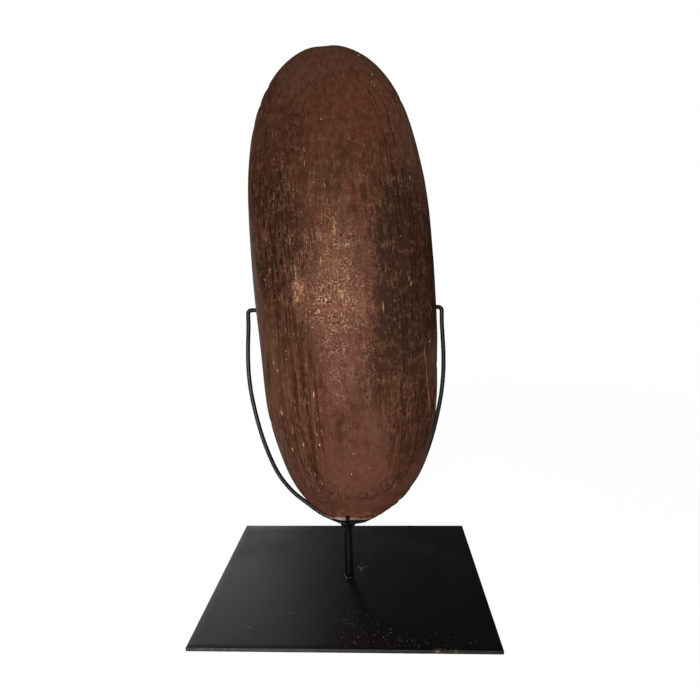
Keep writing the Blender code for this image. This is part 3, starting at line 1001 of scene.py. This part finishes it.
class Wood(Tree):
    """The tree of the shield's colours. It knows places on the wood, its grain, its worn areas and its
    painted highlight.
    """

    def __init__(self, nodes):
        super().__init__(nodes)
        pose = {"Vector": self.own_place(), "Location": shield_place, "Rotation": lean.to_euler()}
        self.place = self.add("ShaderNodeMapping", pose, vector_type="TEXTURE")
        self.arc = self.attribute("arc")
        self.along = self.attribute("along")
        self.front = self.attribute("front")
        self.groove = self.attribute("groove")
        self.lip = self.attribute("lip")
        self.recess = self.attribute("recess")
        grain = self.add("ShaderNodeCombineXYZ", (self.arc, 0.0, self.along))
        self.flank = abs(self.arc).ease(0.030, 0.085)

        # Two places pushed about by noise, which give an area a rough or a frayed edge.
        sockets = {"Vector": self.place, "Scale": 120.0, "Detail": 3.0}
        drift = self.add("ShaderNodeTexNoise", sockets, 1, normalize=False)
        self.rough_place = self.shifted(self.place, drift, 0.010, 0.010, 0.016)
        self.frayed = self.shifted(self.place, drift, 0.0012, 0.0012, 0.0030)
        # Patterns drawn out along the grain, then patterns that are the same all ways.
        self.hair = self.noise(grain.stretched(1, 1, 0.07), 360.0, 2.0, 0.6)
        self.lines = self.noise(grain.stretched(1, 1, 0.12), 225.0, 2.5, 0.62)
        self.ticks = self.noise(grain.stretched(1, 1, 0.32), 250.0, 2.0, 0.6)
        self.bands = self.noise(grain.stretched(1, 1, 0.18), 80.0, 3.0, 0.6)
        self.cloud = self.noise(grain.stretched(1, 1, 0.55), 17.0, 4.0, 0.6)
        self.ridge = self.noise(grain.stretched(1, 1, 0.05), 120.0, 1.5, 0.5)
        self.dapple = self.noise(grain.stretched(1, 1, 0.8), 100.0, 1.5, 0.6)
        self.grit = self.noise(self.place, 400.0, 1.5, 0.6)
        self.sand = self.noise(self.place, 900.0, 2.0, 0.5)
        self.ragged = self.noise(self.place, 75.0, 4.0, 0.7)
        self.patchy = self.noise(self.place, 42.0, 3.0, 0.6)

        # Areas that several coats share.
        self.worn = self.patches(self.rough_place, WORN_AREAS, 0.0)
        # The right flank's olive zone, partly painted shade where the front turns away.
        mossy = self.patches(self.rough_place, OLIVE_AREAS, 0.75) + 0.9 * self.ragged - 0.45
        self.olive = mossy.ease(0.25, 0.60)
        # A painted highlight over the worn middle, where the front faces the lamp.
        self.bright = self.patches(self.rough_place, WEAR_AND_HIGHLIGHT_AREAS, 0.0) * (1 - self.olive)
        self.worn = self.worn * (1 - 0.8 * self.olive)
        self.top = self.along.ease(0.12, 0.24)
        self.bottom = self.along.ease(-0.17, -0.26)
        self.calm = self.top.maths("MAXIMUM", self.bottom)
        self.ridged = self.patches(self.rough_place, RIDGE_AREAS, 0.4)
        self.coarse = (1 - 0.75 * self.calm) * (1 - 0.7 * self.ridged)
        self.gold = self.patches(self.rough_place, GOLD_AREAS, 0.2)

    def shifted(self, place, drift, across, depth, along):
        """A place pushed about by a drift, by its own distance each way."""
        sockets = (drift, (across, depth, along), place)
        return self.add("ShaderNodeVectorMath", sockets, operation="MULTIPLY_ADD")

    def patch(self, place, across, along, wide, tall, soft):
        """1 within the soft share of an oval patch of the front, easing to 0 at its edge."""
        sockets = (place, (1 / wide, 0.0, 1 / tall), (-across / wide, 0.0, -along / tall))
        inside = self.add("ShaderNodeVectorMath", sockets, operation="MULTIPLY_ADD")
        reach = self.add("ShaderNodeVectorMath", (inside,), 1, operation="LENGTH")
        return reach.ease(1.0, soft)

    def patches(self, place, rows, soft):
        """The strongest of several patches."""
        whole = None
        for row in rows:
            one = self.patch(place, *row, soft=soft)
            whole = one if whole is None else whole.maths("MAXIMUM", one)
        return whole


# Colours of the front: ochre, wear, dirt, bare wood, and painted highlight, sheen and shade.
BROWN = (0.090, 0.0335, 0.0170)
RED = (0.112, 0.0360, 0.0190)
TAN = (0.088, 0.0370, 0.0190)
CHERRY = (0.135, 0.034, 0.018)
FAWN = (0.150, 0.058, 0.033)
SHADE = (0.038, 0.013, 0.007)
BLUSH = (0.200, 0.080, 0.058)
DEEP = (0.048, 0.014, 0.007)
PALE = (0.165, 0.066, 0.044)
HONEY = (0.095, 0.040, 0.019)
RUSSET = (0.105, 0.034, 0.020)
RIDGE = (0.165, 0.062, 0.036)
FURROW = (0.045, 0.013, 0.006)
BUFF = (0.260, 0.120, 0.070)
HAIR = (0.220, 0.100, 0.056)
FLAKED = (0.270, 0.150, 0.105)
DULL = (0.112, 0.0560, 0.0340)
LOWER_LIP_RED_AND_LIGHT = (0.120, 0.044, 0.029)
WARM = (0.270, 0.105, 0.045)
AMBER = (0.240, 0.095, 0.045)
SPRINKLED = (0.300, 0.185, 0.095)
CHIPPED = (0.420, 0.265, 0.200)
OLIVE = (0.034, 0.0135, 0.0060)
MOSS = (0.027, 0.0150, 0.0087)
WORN = (0.208, 0.077, 0.049)
GOLD = (0.222, 0.103, 0.048)
ROSE = (0.470, 0.230, 0.150)
PIT = (0.055, 0.014, 0.006)
GLINT = (0.950, 0.660, 0.500)
MAUVE = (0.148, 0.053, 0.039)
LEFT_EDGE_SHEEN = (0.140, 0.120, 0.100)
STRAW = (0.640, 0.350, 0.140)
ORANGE = (0.380, 0.105, 0.045)
TOE_EDGE_HIGHLIGHT = (0.520, 0.310, 0.240)
TOE_RIM_HIGHLIGHT = (0.760, 0.580, 0.520)
FLECK = (0.420, 0.240, 0.150)
SOOT = (0.017, 0.0042, 0.0014)
# The back, and the raw wood inside the hollow.
BACK_BROWN = (0.100, 0.046, 0.028)
BACK_TAN = (0.165, 0.080, 0.048)
RAW_SHADE = (0.150, 0.085, 0.050)
RAW = (0.270, 0.165, 0.098)
# Areas of the front: place across, height, half width and half height.
WORN_AREAS = ((0.000, 0.006, 0.070, 0.150), (-0.004, -0.070, 0.056, 0.130))
# The worn middle, where a highlight is painted in the worn colour.
WEAR_AND_HIGHLIGHT_AREAS = (
    (-0.010, -0.014, 0.056, 0.080), (-0.002, 0.000, 0.046, 0.060), (-0.054, 0.000, 0.020, 0.034),
)
# The olive zone on the right flank: darker wood, with painted shade where the front turns away past a
# crisp edge.
OLIVE_AREAS = (
    (0.112, 0.010, 0.066, 0.175), (0.076, -0.040, 0.034, 0.075), (0.092, 0.040, 0.030, 0.050),
)
# Darker patches; those low on the right rim are painted shade.
DARK_AREAS = (
    (-0.056, 0.085, 0.046, 0.110), (0.027, 0.108, 0.010, 0.015), (0.042, -0.118, 0.040, 0.064),
    (0.012, -0.140, 0.030, 0.070), (-0.080, 0.300, 0.024, 0.024), (-0.100, 0.235, 0.022, 0.036),
    (-0.036, 0.235, 0.022, 0.026), (0.118, -0.245, 0.026, 0.060), (-0.050, 0.215, 0.040, 0.060),
    (-0.086, 0.140, 0.052, 0.130), (-0.092, 0.040, 0.024, 0.080), (-0.046, 0.060, 0.038, 0.100),
    (-0.050, -0.080, 0.016, 0.060), (0.112, -0.160, 0.030, 0.110), (0.104, -0.250, 0.064, 0.110),
    (-0.090, 0.285, 0.046, 0.060), (-0.030, -0.325, 0.022, 0.016), (-0.060, -0.300, 0.024, 0.020),
)
LIGHT_AREAS = (
    (0.085, 0.262, 0.056, 0.066), (0.104, 0.130, 0.034, 0.070), (0.046, 0.036, 0.022, 0.030),
    (-0.053, -0.040, 0.018, 0.030), (-0.070, -0.105, 0.022, 0.044), (-0.014, -0.273, 0.022, 0.022),
)
# Redder patches; the one low on the left edge is also lightened as a painted sheen along the rim.
RED_AREAS = (
    (-0.104, -0.140, 0.030, 0.120), (0.050, 0.255, 0.070, 0.055), (0.050, 0.190, 0.030, 0.060),
)
MAUVE_AREAS = (
    (0.010, -0.265, 0.080, 0.070), (0.030, -0.200, 0.050, 0.060), (-0.006, -0.130, 0.060, 0.070),
)
# A painted sheen along the left edge.
LEFT_EDGE_SHEEN_AREAS = ((-0.142, 0.010, 0.036, 0.160), (-0.140, 0.070, 0.030, 0.130))
GOLD_AREAS = ((0.000, 0.030, 0.020, 0.026), (0.030, -0.020, 0.014, 0.030))
# Broad flutes low on the left, whose relief is painted: pale crests and dark furrows.
RIDGE_AREAS = ((-0.066, -0.175, 0.056, 0.150),)
ORANGE_AREAS = (
    (-0.099, 0.080, 0.0035, 0.018), (0.134, 0.092, 0.003, 0.004), (0.046, -0.030, 0.0016, 0.020),
)
STRAW_AREAS = (
    (-0.055, 0.002, 0.0090, 0.026), (0.004, -0.010, 0.0060, 0.010), (0.001, 0.088, 0.0036, 0.016),
)
FIBRE_AREAS = (
    (-0.030, 0.070, 0.066, 0.090), (-0.054, 0.005, 0.034, 0.060), (0.000, 0.020, 0.050, 0.060),
    (-0.002, 0.122, 0.016, 0.036),
)
SMEAR_AREAS = (
    (0.024, -0.307, 0.026, 0.007), (0.052, -0.296, 0.024, 0.009), (0.068, -0.282, 0.016, 0.016),
    (-0.052, -0.300, 0.012, 0.030), (-0.030, -0.312, 0.018, 0.012),
)
WARM_AREAS = ((-0.022, -0.344, 0.036, 0.012), (0.020, -0.345, 0.046, 0.008))
FLAKED_AREAS = (
    (-0.042, -0.306, 0.044, 0.034), (-0.060, -0.280, 0.024, 0.034), (0.060, -0.290, 0.026, 0.022),
)
# Painted highlights where the toe's rounded rim catches the light.
TOE_EDGE_HIGHLIGHT_AREAS = ((-0.022, -0.3470, 0.034, 0.0064), (0.020, -0.3495, 0.036, 0.0036))
TOE_RIM_HIGHLIGHT_AREAS = ((-0.030, -0.3460, 0.016, 0.0040),)
FLECKS = (
    (-0.0991, 0.0248, 0.0009, 0.0012), (-0.0912, -0.0103, 0.0009, 0.0016),
    (-0.0804, -0.0807, 0.0010, 0.0010), (-0.0802, -0.0949, 0.0010, 0.0010),
    (-0.1010, -0.0990, 0.0016, 0.0030), (-0.0960, -0.1100, 0.0022, 0.0016),
    (-0.0960, -0.1720, 0.0014, 0.0040), (-0.0447, -0.1450, 0.0009, 0.0050),
    (-0.0672, -0.2187, 0.0009, 0.0040), (-0.0852, -0.2271, 0.0010, 0.0030),
    (-0.0434, -0.2188, 0.0010, 0.0024), (0.0042, -0.2347, 0.0022, 0.0010),
    (-0.0013, -0.2660, 0.0009, 0.0012), (0.0239, -0.2582, 0.0007, 0.0007),
    (0.1231, -0.0833, 0.0014, 0.0030), (0.0490, 0.3307, 0.0014, 0.0010),
    (0.0667, 0.2970, 0.0007, 0.0014), (-0.0076, 0.2324, 0.0009, 0.0012),
)
FAINT_FLECKS = (
    (0.0650, 0.2860, 0.0007, 0.0046), (0.0690, 0.2820, 0.0006, 0.0040),
    (-0.0330, 0.1920, 0.0007, 0.0040), (-0.0340, 0.1730, 0.0008, 0.0046),
    (0.0280, 0.2020, 0.0009, 0.0024), (0.0350, 0.1970, 0.0011, 0.0015),
    (-0.0270, 0.1580, 0.0010, 0.0016), (0.0455, 0.1500, 0.0009, 0.0024),
    (0.0860, 0.1450, 0.0011, 0.0013), (0.1090, 0.1460, 0.0008, 0.0026),
    (-0.0080, 0.1400, 0.0010, 0.0050), (0.0270, 0.2960, 0.0006, 0.0030),
)
STREWN_AREAS = ((-0.062, -0.215, 0.060, 0.120), (-0.040, -0.290, 0.050, 0.050))
# Lines that follow the grain: place across, height, half width and half height.
SCRATCHES = (
    (0.1148, -0.102, 0.0012, 0.022), (0.1160, -0.136, 0.0014, 0.026),
    (0.1174, -0.168, 0.0014, 0.022), (0.1330, -0.118, 0.0012, 0.024),
    (0.1310, -0.150, 0.0016, 0.022), (0.1272, -0.178, 0.0016, 0.018),
)
STRAW_LINES = (
    (0.0010, 0.082, 0.0009, 0.018), (-0.0200, 0.039, 0.0010, 0.009),
    (0.0599, -0.030, 0.0010, 0.010), (0.0985, 0.007, 0.0008, 0.005), (0.1008, 0.000, 0.0008, 0.006),
    (0.0060, -0.012, 0.0012, 0.008), (0.0100, -0.020, 0.0010, 0.007),
)
DARK_LINES = (
    (-0.0505, -0.142, 0.0014, 0.030), (-0.0455, -0.185, 0.0014, 0.034),
    (-0.0446, -0.230, 0.0013, 0.030), (-0.0600, -0.120, 0.0013, 0.030),
    (-0.0310, 0.248, 0.0016, 0.014), (-0.0250, 0.242, 0.0012, 0.010),
    (-0.0690, -0.250, 0.0010, 0.030), (-0.0880, 0.060, 0.0014, 0.040),
    (-0.0520, -0.268, 0.0016, 0.040), (-0.0440, -0.288, 0.0014, 0.034),
    (-0.0360, -0.302, 0.0014, 0.024), (-0.0640, -0.268, 0.0014, 0.036),
)


def holes(spread):
    """A round area about each worm hole."""
    return [(across, height, spread * radius, spread * radius) for across, height, radius in WORM_HOLES]


def lay_ochre(wood):
    """The red ochre, with the light, dark, mauve and worn areas that show from afar, among them painted
    highlight, sheen and shade.
    """
    wood.colour = wood.mix(wood.cloud.ease(0.38, 0.62), BROWN, RED)
    wood.lay(0.6 * wood.flank * wood.patchy.ease(0.40, 0.60), TAN)
    wood.lay((0.65 - 0.40 * wood.calm) * (1 - 0.6 * wood.ridged) * wood.bands.ease(0.46, 0.60), OLIVE)
    # Redder patches, the low left one also a painted sheen on the rim.
    wood.lay(0.8 * wood.patches(wood.rough_place, RED_AREAS, 0.1) * wood.ragged, CHERRY)
    wood.lay(0.6 * wood.patches(wood.rough_place, LIGHT_AREAS, 0.1), FAWN)
    # Darker patches, with painted shade low on the right rim.
    wood.lay(0.85 * wood.patches(wood.rough_place, DARK_AREAS, 0.0) * (0.4 + wood.ragged), OLIVE)
    # Olive tone and painted shade on the right flank.
    wood.lay(0.80 * wood.olive, MOSS)
    wood.lay(0.80 * wood.patches(wood.rough_place, MAUVE_AREAS, 0.0), MAUVE)
    wood.lay(0.40 * wood.bottom * abs(wood.arc).ease(0.060, 0.135), SHADE)
    wood.lay(0.20 * wood.bottom * (1 - wood.flank), BLUSH)
    wood.lay(0.50 * wood.worn, WORN)
    # Painted highlight: the worn colour laid thicker where the middle faces the lamp.
    wood.lay(0.70 * wood.bright, WORN)
    wood.lay(0.70 * wood.gold, GOLD)
    blotch = (0.35 - 0.15 * wood.bottom) * (1 - 0.5 * wood.bright)
    wood.lay(blotch * wood.dapple.ease(0.50, 0.60), DEEP)
    wood.lay(blotch * wood.dapple.ease(0.46, 0.37), PALE)
    wood.lay(0.40 * wood.calm * wood.ragged.ease(0.50, 0.62), HONEY)
    wood.lay(0.45 * wood.bottom * wood.patchy.ease(0.52, 0.62), RUSSET)
    # Painted highlight on the broad flutes' crests and painted shade in their furrows.
    wood.lay(0.60 * wood.ridged * wood.ridge.ease(0.47, 0.40), RIDGE)
    wood.lay(0.85 * wood.ridged * wood.ridge.ease(0.52, 0.60), FURROW)


def lay_wear(wood):
    """The stippling of the handled middle, where pale wood, dark pits and painted glints show."""
    wood.busy = wood.patchy.ease(0.42, 0.56) * (1 - 0.7 * wood.calm) * (1 - 0.7 * wood.gold)
    stipple = (0.08 + 0.45 * wood.worn + 0.60 * wood.bright).maths("MINIMUM", 1.0)
    stipple = stipple * (0.35 + 0.65 * wood.busy)
    wood.stipple = stipple * (1 - 0.7 * wood.ridged) * (1 - 0.6 * wood.calm)
    wood.lay(0.70 * wood.stipple * wood.grit.ease(0.46, 0.38), PIT)
    wood.lay(0.75 * wood.stipple * wood.grit.ease(0.50, 0.62), ROSE)
    # Painted glints: tiny specks of highlight over the stippled middle.
    glint = wood.specks(wood.rough_place, 360.0, 0.52, 0.12)
    glint = glint.maths("MAXIMUM", wood.specks(wood.frayed, 470.0, 0.58, 0.20))
    wood.glint = glint * wood.stipple * (1 - 0.7 * wood.olive) * (1 - 0.7 * wood.gold)


def lay_soot(wood):
    """Soot in the flutes and in the grain, pale hairs between, painted glints, and the long dark lines.
    """
    wood.coarse = wood.coarse * (1 - 0.5 * wood.olive)
    streaks = wood.lines.ease(0.54, 0.61) * (0.20 + 0.80 * wood.flank) * (1 - 0.8 * wood.bright)
    wood.streaks = streaks * wood.coarse
    wood.lay(0.65 * wood.streaks, SOOT)
    short = wood.ticks.ease(0.54, 0.63) * (0.35 + 0.65 * wood.flank) * (1 - 0.8 * wood.bright)
    wood.short = short * (0.3 + 0.7 * wood.busy) * wood.coarse
    wood.lay(0.90 * wood.short, SOOT)
    dash = wood.ticks.ease(0.60, 0.66) * wood.calm * wood.flank
    wood.lay(0.70 * dash, SOOT)
    pale = wood.ticks.ease(0.42, 0.35) * wood.busy * (1 - wood.lip)
    pale = pale * (1 - wood.bright) * (1 - 0.5 * wood.olive)
    wood.lay(0.50 * pale, BUFF)
    pale_hair = wood.hair.ease(0.58, 0.66) * wood.bands.ease(0.60, 0.40) * wood.coarse
    wood.lay(0.45 * pale_hair, HAIR)
    sooty = wood.groove.ease(0.25, 0.85) * (0.30 + 1.2 * wood.lines * wood.ticks.ease(0.35, 0.55))
    wood.sooty = sooty.maths("MINIMUM", 1.0)
    wood.lay(0.70 * wood.sooty, SOOT)
    wood.lay(0.62 * wood.glint, GLINT)
    wood.lay(0.85 * wood.patches(wood.frayed, DARK_LINES, 0.2) * (0.4 + wood.lines), SOOT)


def lay_ends(wood):
    """The plain lips at both ends, the flaked toe with a painted highlight on its rim, and a painted
    sheen on the left edge.
    """
    shoulder = 4 * wood.lip * (1 - wood.lip) * wood.ragged.ease(0.38, 0.55)
    wood.lay((0.15 + 0.15 * wood.bottom) * shoulder, OLIVE)
    smear = wood.patches(wood.rough_place, SMEAR_AREAS, 0.2)
    wood.lay(0.65 * smear * (0.4 + wood.ragged), OLIVE)
    flaked = wood.patches(wood.rough_place, FLAKED_AREAS, 0.0)
    wood.lay(0.60 * flaked * wood.ticks.ease(0.46, 0.38), FLAKED)
    wood.lay(0.60 * flaked * wood.ticks.ease(0.54, 0.62), FURROW)
    dull = wood.lip * (0.35 + 0.5 * wood.ragged) * (1 - 0.6 * wood.dapple.ease(0.50, 0.62))
    wood.lay(0.75 * dull * wood.top * (0.25 + 0.75 * wood.place.part("X").ease(-0.085, -0.02)), DULL)
    # The lower lip's dull red, lightened to paint in the light it gets from below.
    wood.lay(0.75 * dull * wood.bottom, LOWER_LIP_RED_AND_LIGHT)
    # Painted sheen along the left edge, where the flank turns to grazing light.
    left_edge_sheen = wood.patches(wood.place, LEFT_EDGE_SHEEN_AREAS, 0.2) * (0.35 + wood.ragged)
    wood.lay(0.90 * left_edge_sheen, LEFT_EDGE_SHEEN)
    warm_toe = wood.patches(wood.rough_place, WARM_AREAS, 0.0) * (0.4 + wood.ragged)
    wood.lay(0.6 * warm_toe, WARM)
    # Painted highlight along the toe's rounded edge, where it catches the light.
    toe_edge_highlight = wood.patches(wood.place, TOE_EDGE_HIGHLIGHT_AREAS, 0.2) * (0.55 + 0.9 * wood.ragged)
    wood.lay(0.85 * toe_edge_highlight, TOE_EDGE_HIGHLIGHT)
    # The brightest painted highlight, on the toe's lit rim.
    wood.lay(wood.patches(wood.place, TOE_RIM_HIGHLIGHT_AREAS, 0.3) * wood.ragged.ease(0.30, 0.60), TOE_RIM_HIGHLIGHT)


def lay_flecks(wood):
    """Scratches, straw streaks, fibres, flecks and worm holes."""
    orange = wood.patches(wood.frayed, ORANGE_AREAS, 0.15) * wood.ragged.ease(0.32, 0.55)
    wood.lay(0.60 * orange, AMBER)
    wood.lay(0.85 * wood.patches(wood.frayed, SCRATCHES, 0.3) * (0.5 + wood.lines), ORANGE)
    fibre = wood.hair.ease(0.59, 0.65) * wood.patches(wood.rough_place, FIBRE_AREAS, 0.0)
    fibre = fibre * wood.busy * wood.ticks.ease(0.42, 0.54)
    straw = wood.patches(wood.rough_place, STRAW_AREAS, 0.0) * wood.ticks.ease(0.48, 0.56)
    straw = straw.maths("MAXIMUM", wood.patches(wood.frayed, STRAW_LINES, 0.3) * (0.4 + wood.lines))
    wood.lay(0.80 * straw.maths("MAXIMUM", 0.8 * fibre), STRAW)
    strewn = wood.specks(wood.rough_place.stretched(1, 1, 0.6), 260.0, 0.36, 0.12)
    strewn = strewn * wood.patchy.ease(0.46, 0.56)
    spots = [(x, z, FLECK_SPREAD * wide, FLECK_SPREAD * tall) for x, z, wide, tall in FLECKS]
    named = wood.patches(wood.frayed, spots, 0.3) * wood.sand.ease(0.38, 0.50)
    wood.lay(0.50 * strewn, FLECK)
    sprinkled = wood.specks(wood.frayed.stretched(1, 1, 0.45), 420.0, 0.42, 0.12)
    sprinkled = sprinkled * (1 - wood.calm) * (0.25 + 0.75 * wood.flank)
    wood.lay(0.60 * sprinkled * wood.busy, SPRINKLED)
    chips = wood.specks(wood.frayed.stretched(1, 1, 0.35), 330.0, 0.44, 0.22)
    chips = chips * wood.ticks.ease(0.53, 0.44)
    chips = chips * wood.patches(wood.place, STREWN_AREAS, 0.1) * wood.ragged.ease(0.38, 0.55)
    chips = chips.maths("MAXIMUM", wood.patches(wood.frayed, FAINT_FLECKS, 0.3))
    wood.lay(0.75 * chips, CHIPPED)
    wood.lay(0.75 * named, GLINT)
    rims = wood.patches(wood.place, holes(RIM_SPREAD), 0.5)
    wood.lay(0.65 * rims * wood.grit.ease(0.46, 0.58), GLINT)
    wood.lay(wood.patches(wood.place, holes(MOUTH_SPREAD), 0.7), SOOT)


def back_colour(wood):
    """Plain dry wood behind, and rawer wood in the hollow."""
    behind = wood.noise(wood.place.stretched(1, 1, 0.07), 240.0, 4.0, 0.6)
    plain = wood.mix(behind.ease(0.40, 0.62), BACK_BROWN, BACK_TAN)
    plain = wood.mix(0.6 * wood.attribute("adzed").ease(0.3, 0.9), plain, SOOT)
    inside = wood.mix(behind.ease(0.38, 0.60), RAW_SHADE, RAW)
    return wood.mix(wood.recess, plain, inside)


def ochred_wood():
    """Red ochre rubbed into fluted wood: worn in the middle under a painted highlight, sooty in the
    flutes, dull at both ends.
    """
    material, wood, shader = new_material("ochred_beanwood", Wood)
    for lay_on in (lay_ochre, lay_wear, lay_soot, lay_ends, lay_flecks):
        lay_on(wood)
    colour = wood.mix(wood.front, back_colour(wood), wood.colour)
    roughness = 0.50 - 0.12 * wood.bright + 0.16 * wood.sooty + 0.10 * (wood.sand - 0.5)
    height = 2.0 * wood.lines + 0.5 * wood.hair + (1.0 + 8.0 * wood.stipple) * wood.grit
    height = height + 0.5 * wood.sand - 1.5 * wood.streaks - 1.5 * wood.short
    height = height + (2.0 + 1.5 * wood.bottom + 1.5 * wood.top) * wood.dapple
    wire(wood, shader, height, 0.00035, Base_Color=colour, Roughness=roughness)
    shader.inputs["Specular IOR Level"].default_value = 0.12
    shader.inputs["Specular Tint"].default_value = (1.0, 0.60, 0.42, 1.0)
    return material


wood_finish = ochred_wood()
hollow_tool = without(recess_mesh(), grip_mesh())
carved = without(without(blank_mesh(), hollow_tool), worm_hole_mesh())
mark_places(carved)
carved.transform(shield_pose)
fluting = flute_group()
front_cut = {
    "Lane": "arc", "Mask": "fluted", "Mark": "groove", "Pitch": 0.0050, "Depth": 0.00080, "Wander": 3.0,
    "Quiet_middle": 0.20, "Seed": 0.0, "Wave": 0.0010, "Finish": wood_finish,
}
back_cut = {
    "Lane": "across", "Mask": "back", "Mark": "adzed", "Pitch": 0.013, "Depth": 0.0006, "Wander": 1.2,
    "Quiet_middle": 1.0, "Seed": 5.0, "Wave": 0.0004, "Finish": wood_finish,
}
carved = grown(grown(carved, fluting, **front_cut), fluting, **back_cut)
add_piece("carved_shield", carved, wood_finish, replaced="shield")


# Room: a pale paper floor that fades out into the white background, a broad soft lamp in front, and
# two dim panes of daylight behind to the left, which the black paint and the shield's left flank
# mirror.
CAMERA_PLACE = (0.0482, -0.8311, 0.4761)
CAMERA_YAW = math.radians(-2.724)
CAMERA_PITCH = math.radians(8.031)
CAMERA_ROLL = math.radians(-1.205)
SENSOR = 36.0
FOCAL_PIXELS = 572.85
PHOTO_WIDTH = 700
FLOOR_SIZE = 5.0
FADE_START, FADE_END = (0.7, 2.2)
DAYLIGHT = (0.92, 0.97, 1.0)


def pale_floor():
    """Matt white paper, lit a little from itself, that fades out into the white background."""
    material, tree, shader = new_material("pale_floor")
    reach = tree.add("ShaderNodeVectorMath", (tree.own_place(),), 1, operation="LENGTH")
    cover = 0.38 * reach.ease(FADE_END, FADE_START)
    tree.nodes.links.new(cover.socket, shader.inputs["Alpha"])
    shader.inputs["Emission Color"].default_value = (1.0, 1.0, 1.0, 1.0)
    shader.inputs["Emission Strength"].default_value = 0.85
    shader.inputs["Base Color"].default_value = (0.62, 0.62, 0.62, 1.0)
    shader.inputs["Roughness"].default_value = 0.9
    shader.inputs["Specular IOR Level"].default_value = 0.1
    mesh = bpy.data.meshes.new("floor")
    half = FLOOR_SIZE / 2
    corners = [(-half, -half, 0), (half, -half, 0), (half, half, 0), (-half, half, 0)]
    mesh.from_pydata(corners, [], [(0, 1, 2, 3)])
    mesh.materials.append(material)
    floor = new_object("floor", mesh)


def soft_lamp(name, place, aim, width, height, power, colour=(1.0, 1.0, 1.0)):
    """A rectangular soft box, aimed at a point."""
    light = bpy.data.lights.new(name, "AREA")
    light.shape = "RECTANGLE"
    light.size = width
    light.size_y = height
    light.energy = power
    light.color = colour
    lamp = new_object(name, light)
    lamp.location = place
    lamp.rotation_euler = (Vector(aim) - Vector(place)).to_track_quat("-Z", "Y").to_euler()
    lamp.visible_camera = False


def room_light():
    """A dim even room, with a white background for the camera."""
    world = bpy.data.worlds.new("room")
    bpy.context.scene.world = world
    world.use_nodes = True
    tree = Tree(world.node_tree)
    ambient = tree.add("ShaderNodeBackground", ((0.9, 0.95, 1.0, 1.0), 0.05))
    paper = tree.add("ShaderNodeBackground", ((1.0, 1.0, 1.0, 1.0), 1.0))
    seen = tree.add("ShaderNodeLightPath")
    both = tree.add("ShaderNodeMixShader", (seen, ambient, paper))
    tree.nodes.links.new(both.socket, world.node_tree.nodes["World Output"].inputs["Surface"])


def add_camera():
    """The photograph's camera."""
    level = Vector((math.cos(CAMERA_YAW), -math.sin(CAMERA_YAW), 0))
    ahead = math.cos(CAMERA_PITCH) * Vector((math.sin(CAMERA_YAW), math.cos(CAMERA_YAW), 0))
    ahead.z = -math.sin(CAMERA_PITCH)
    upward = level.cross(ahead)
    right = math.cos(CAMERA_ROLL) * level + math.sin(CAMERA_ROLL) * upward
    top = math.cos(CAMERA_ROLL) * upward - math.sin(CAMERA_ROLL) * level
    camera = new_object("camera", bpy.data.cameras.new("camera"))
    turn = Matrix((right, top, -ahead)).transposed().to_4x4()
    camera.matrix_world = Matrix.Translation(CAMERA_PLACE) @ turn
    camera.data.sensor_width = SENSOR
    camera.data.lens = FOCAL_PIXELS / PHOTO_WIDTH * SENSOR
    camera.data.clip_start = 0.01
    bpy.context.scene.camera = camera


pale_floor()
soft_lamp("front_lamp", (-0.25, -2.30, 0.55), (0, 0, 0.40), 1.0, 0.8, 48)
soft_lamp("low_pane", (-1.30, 2.00, 0.35), (0, 0, 0.45), 1.8, 0.6, 7.0, DAYLIGHT)
soft_lamp("left_pane", (-1.35, 1.90, 1.15), (0, 0, 0.30), 2.0, 1.7, 8.0, DAYLIGHT)
room_light()
add_camera()
bpy.context.scene.view_settings.view_transform = "Standard"
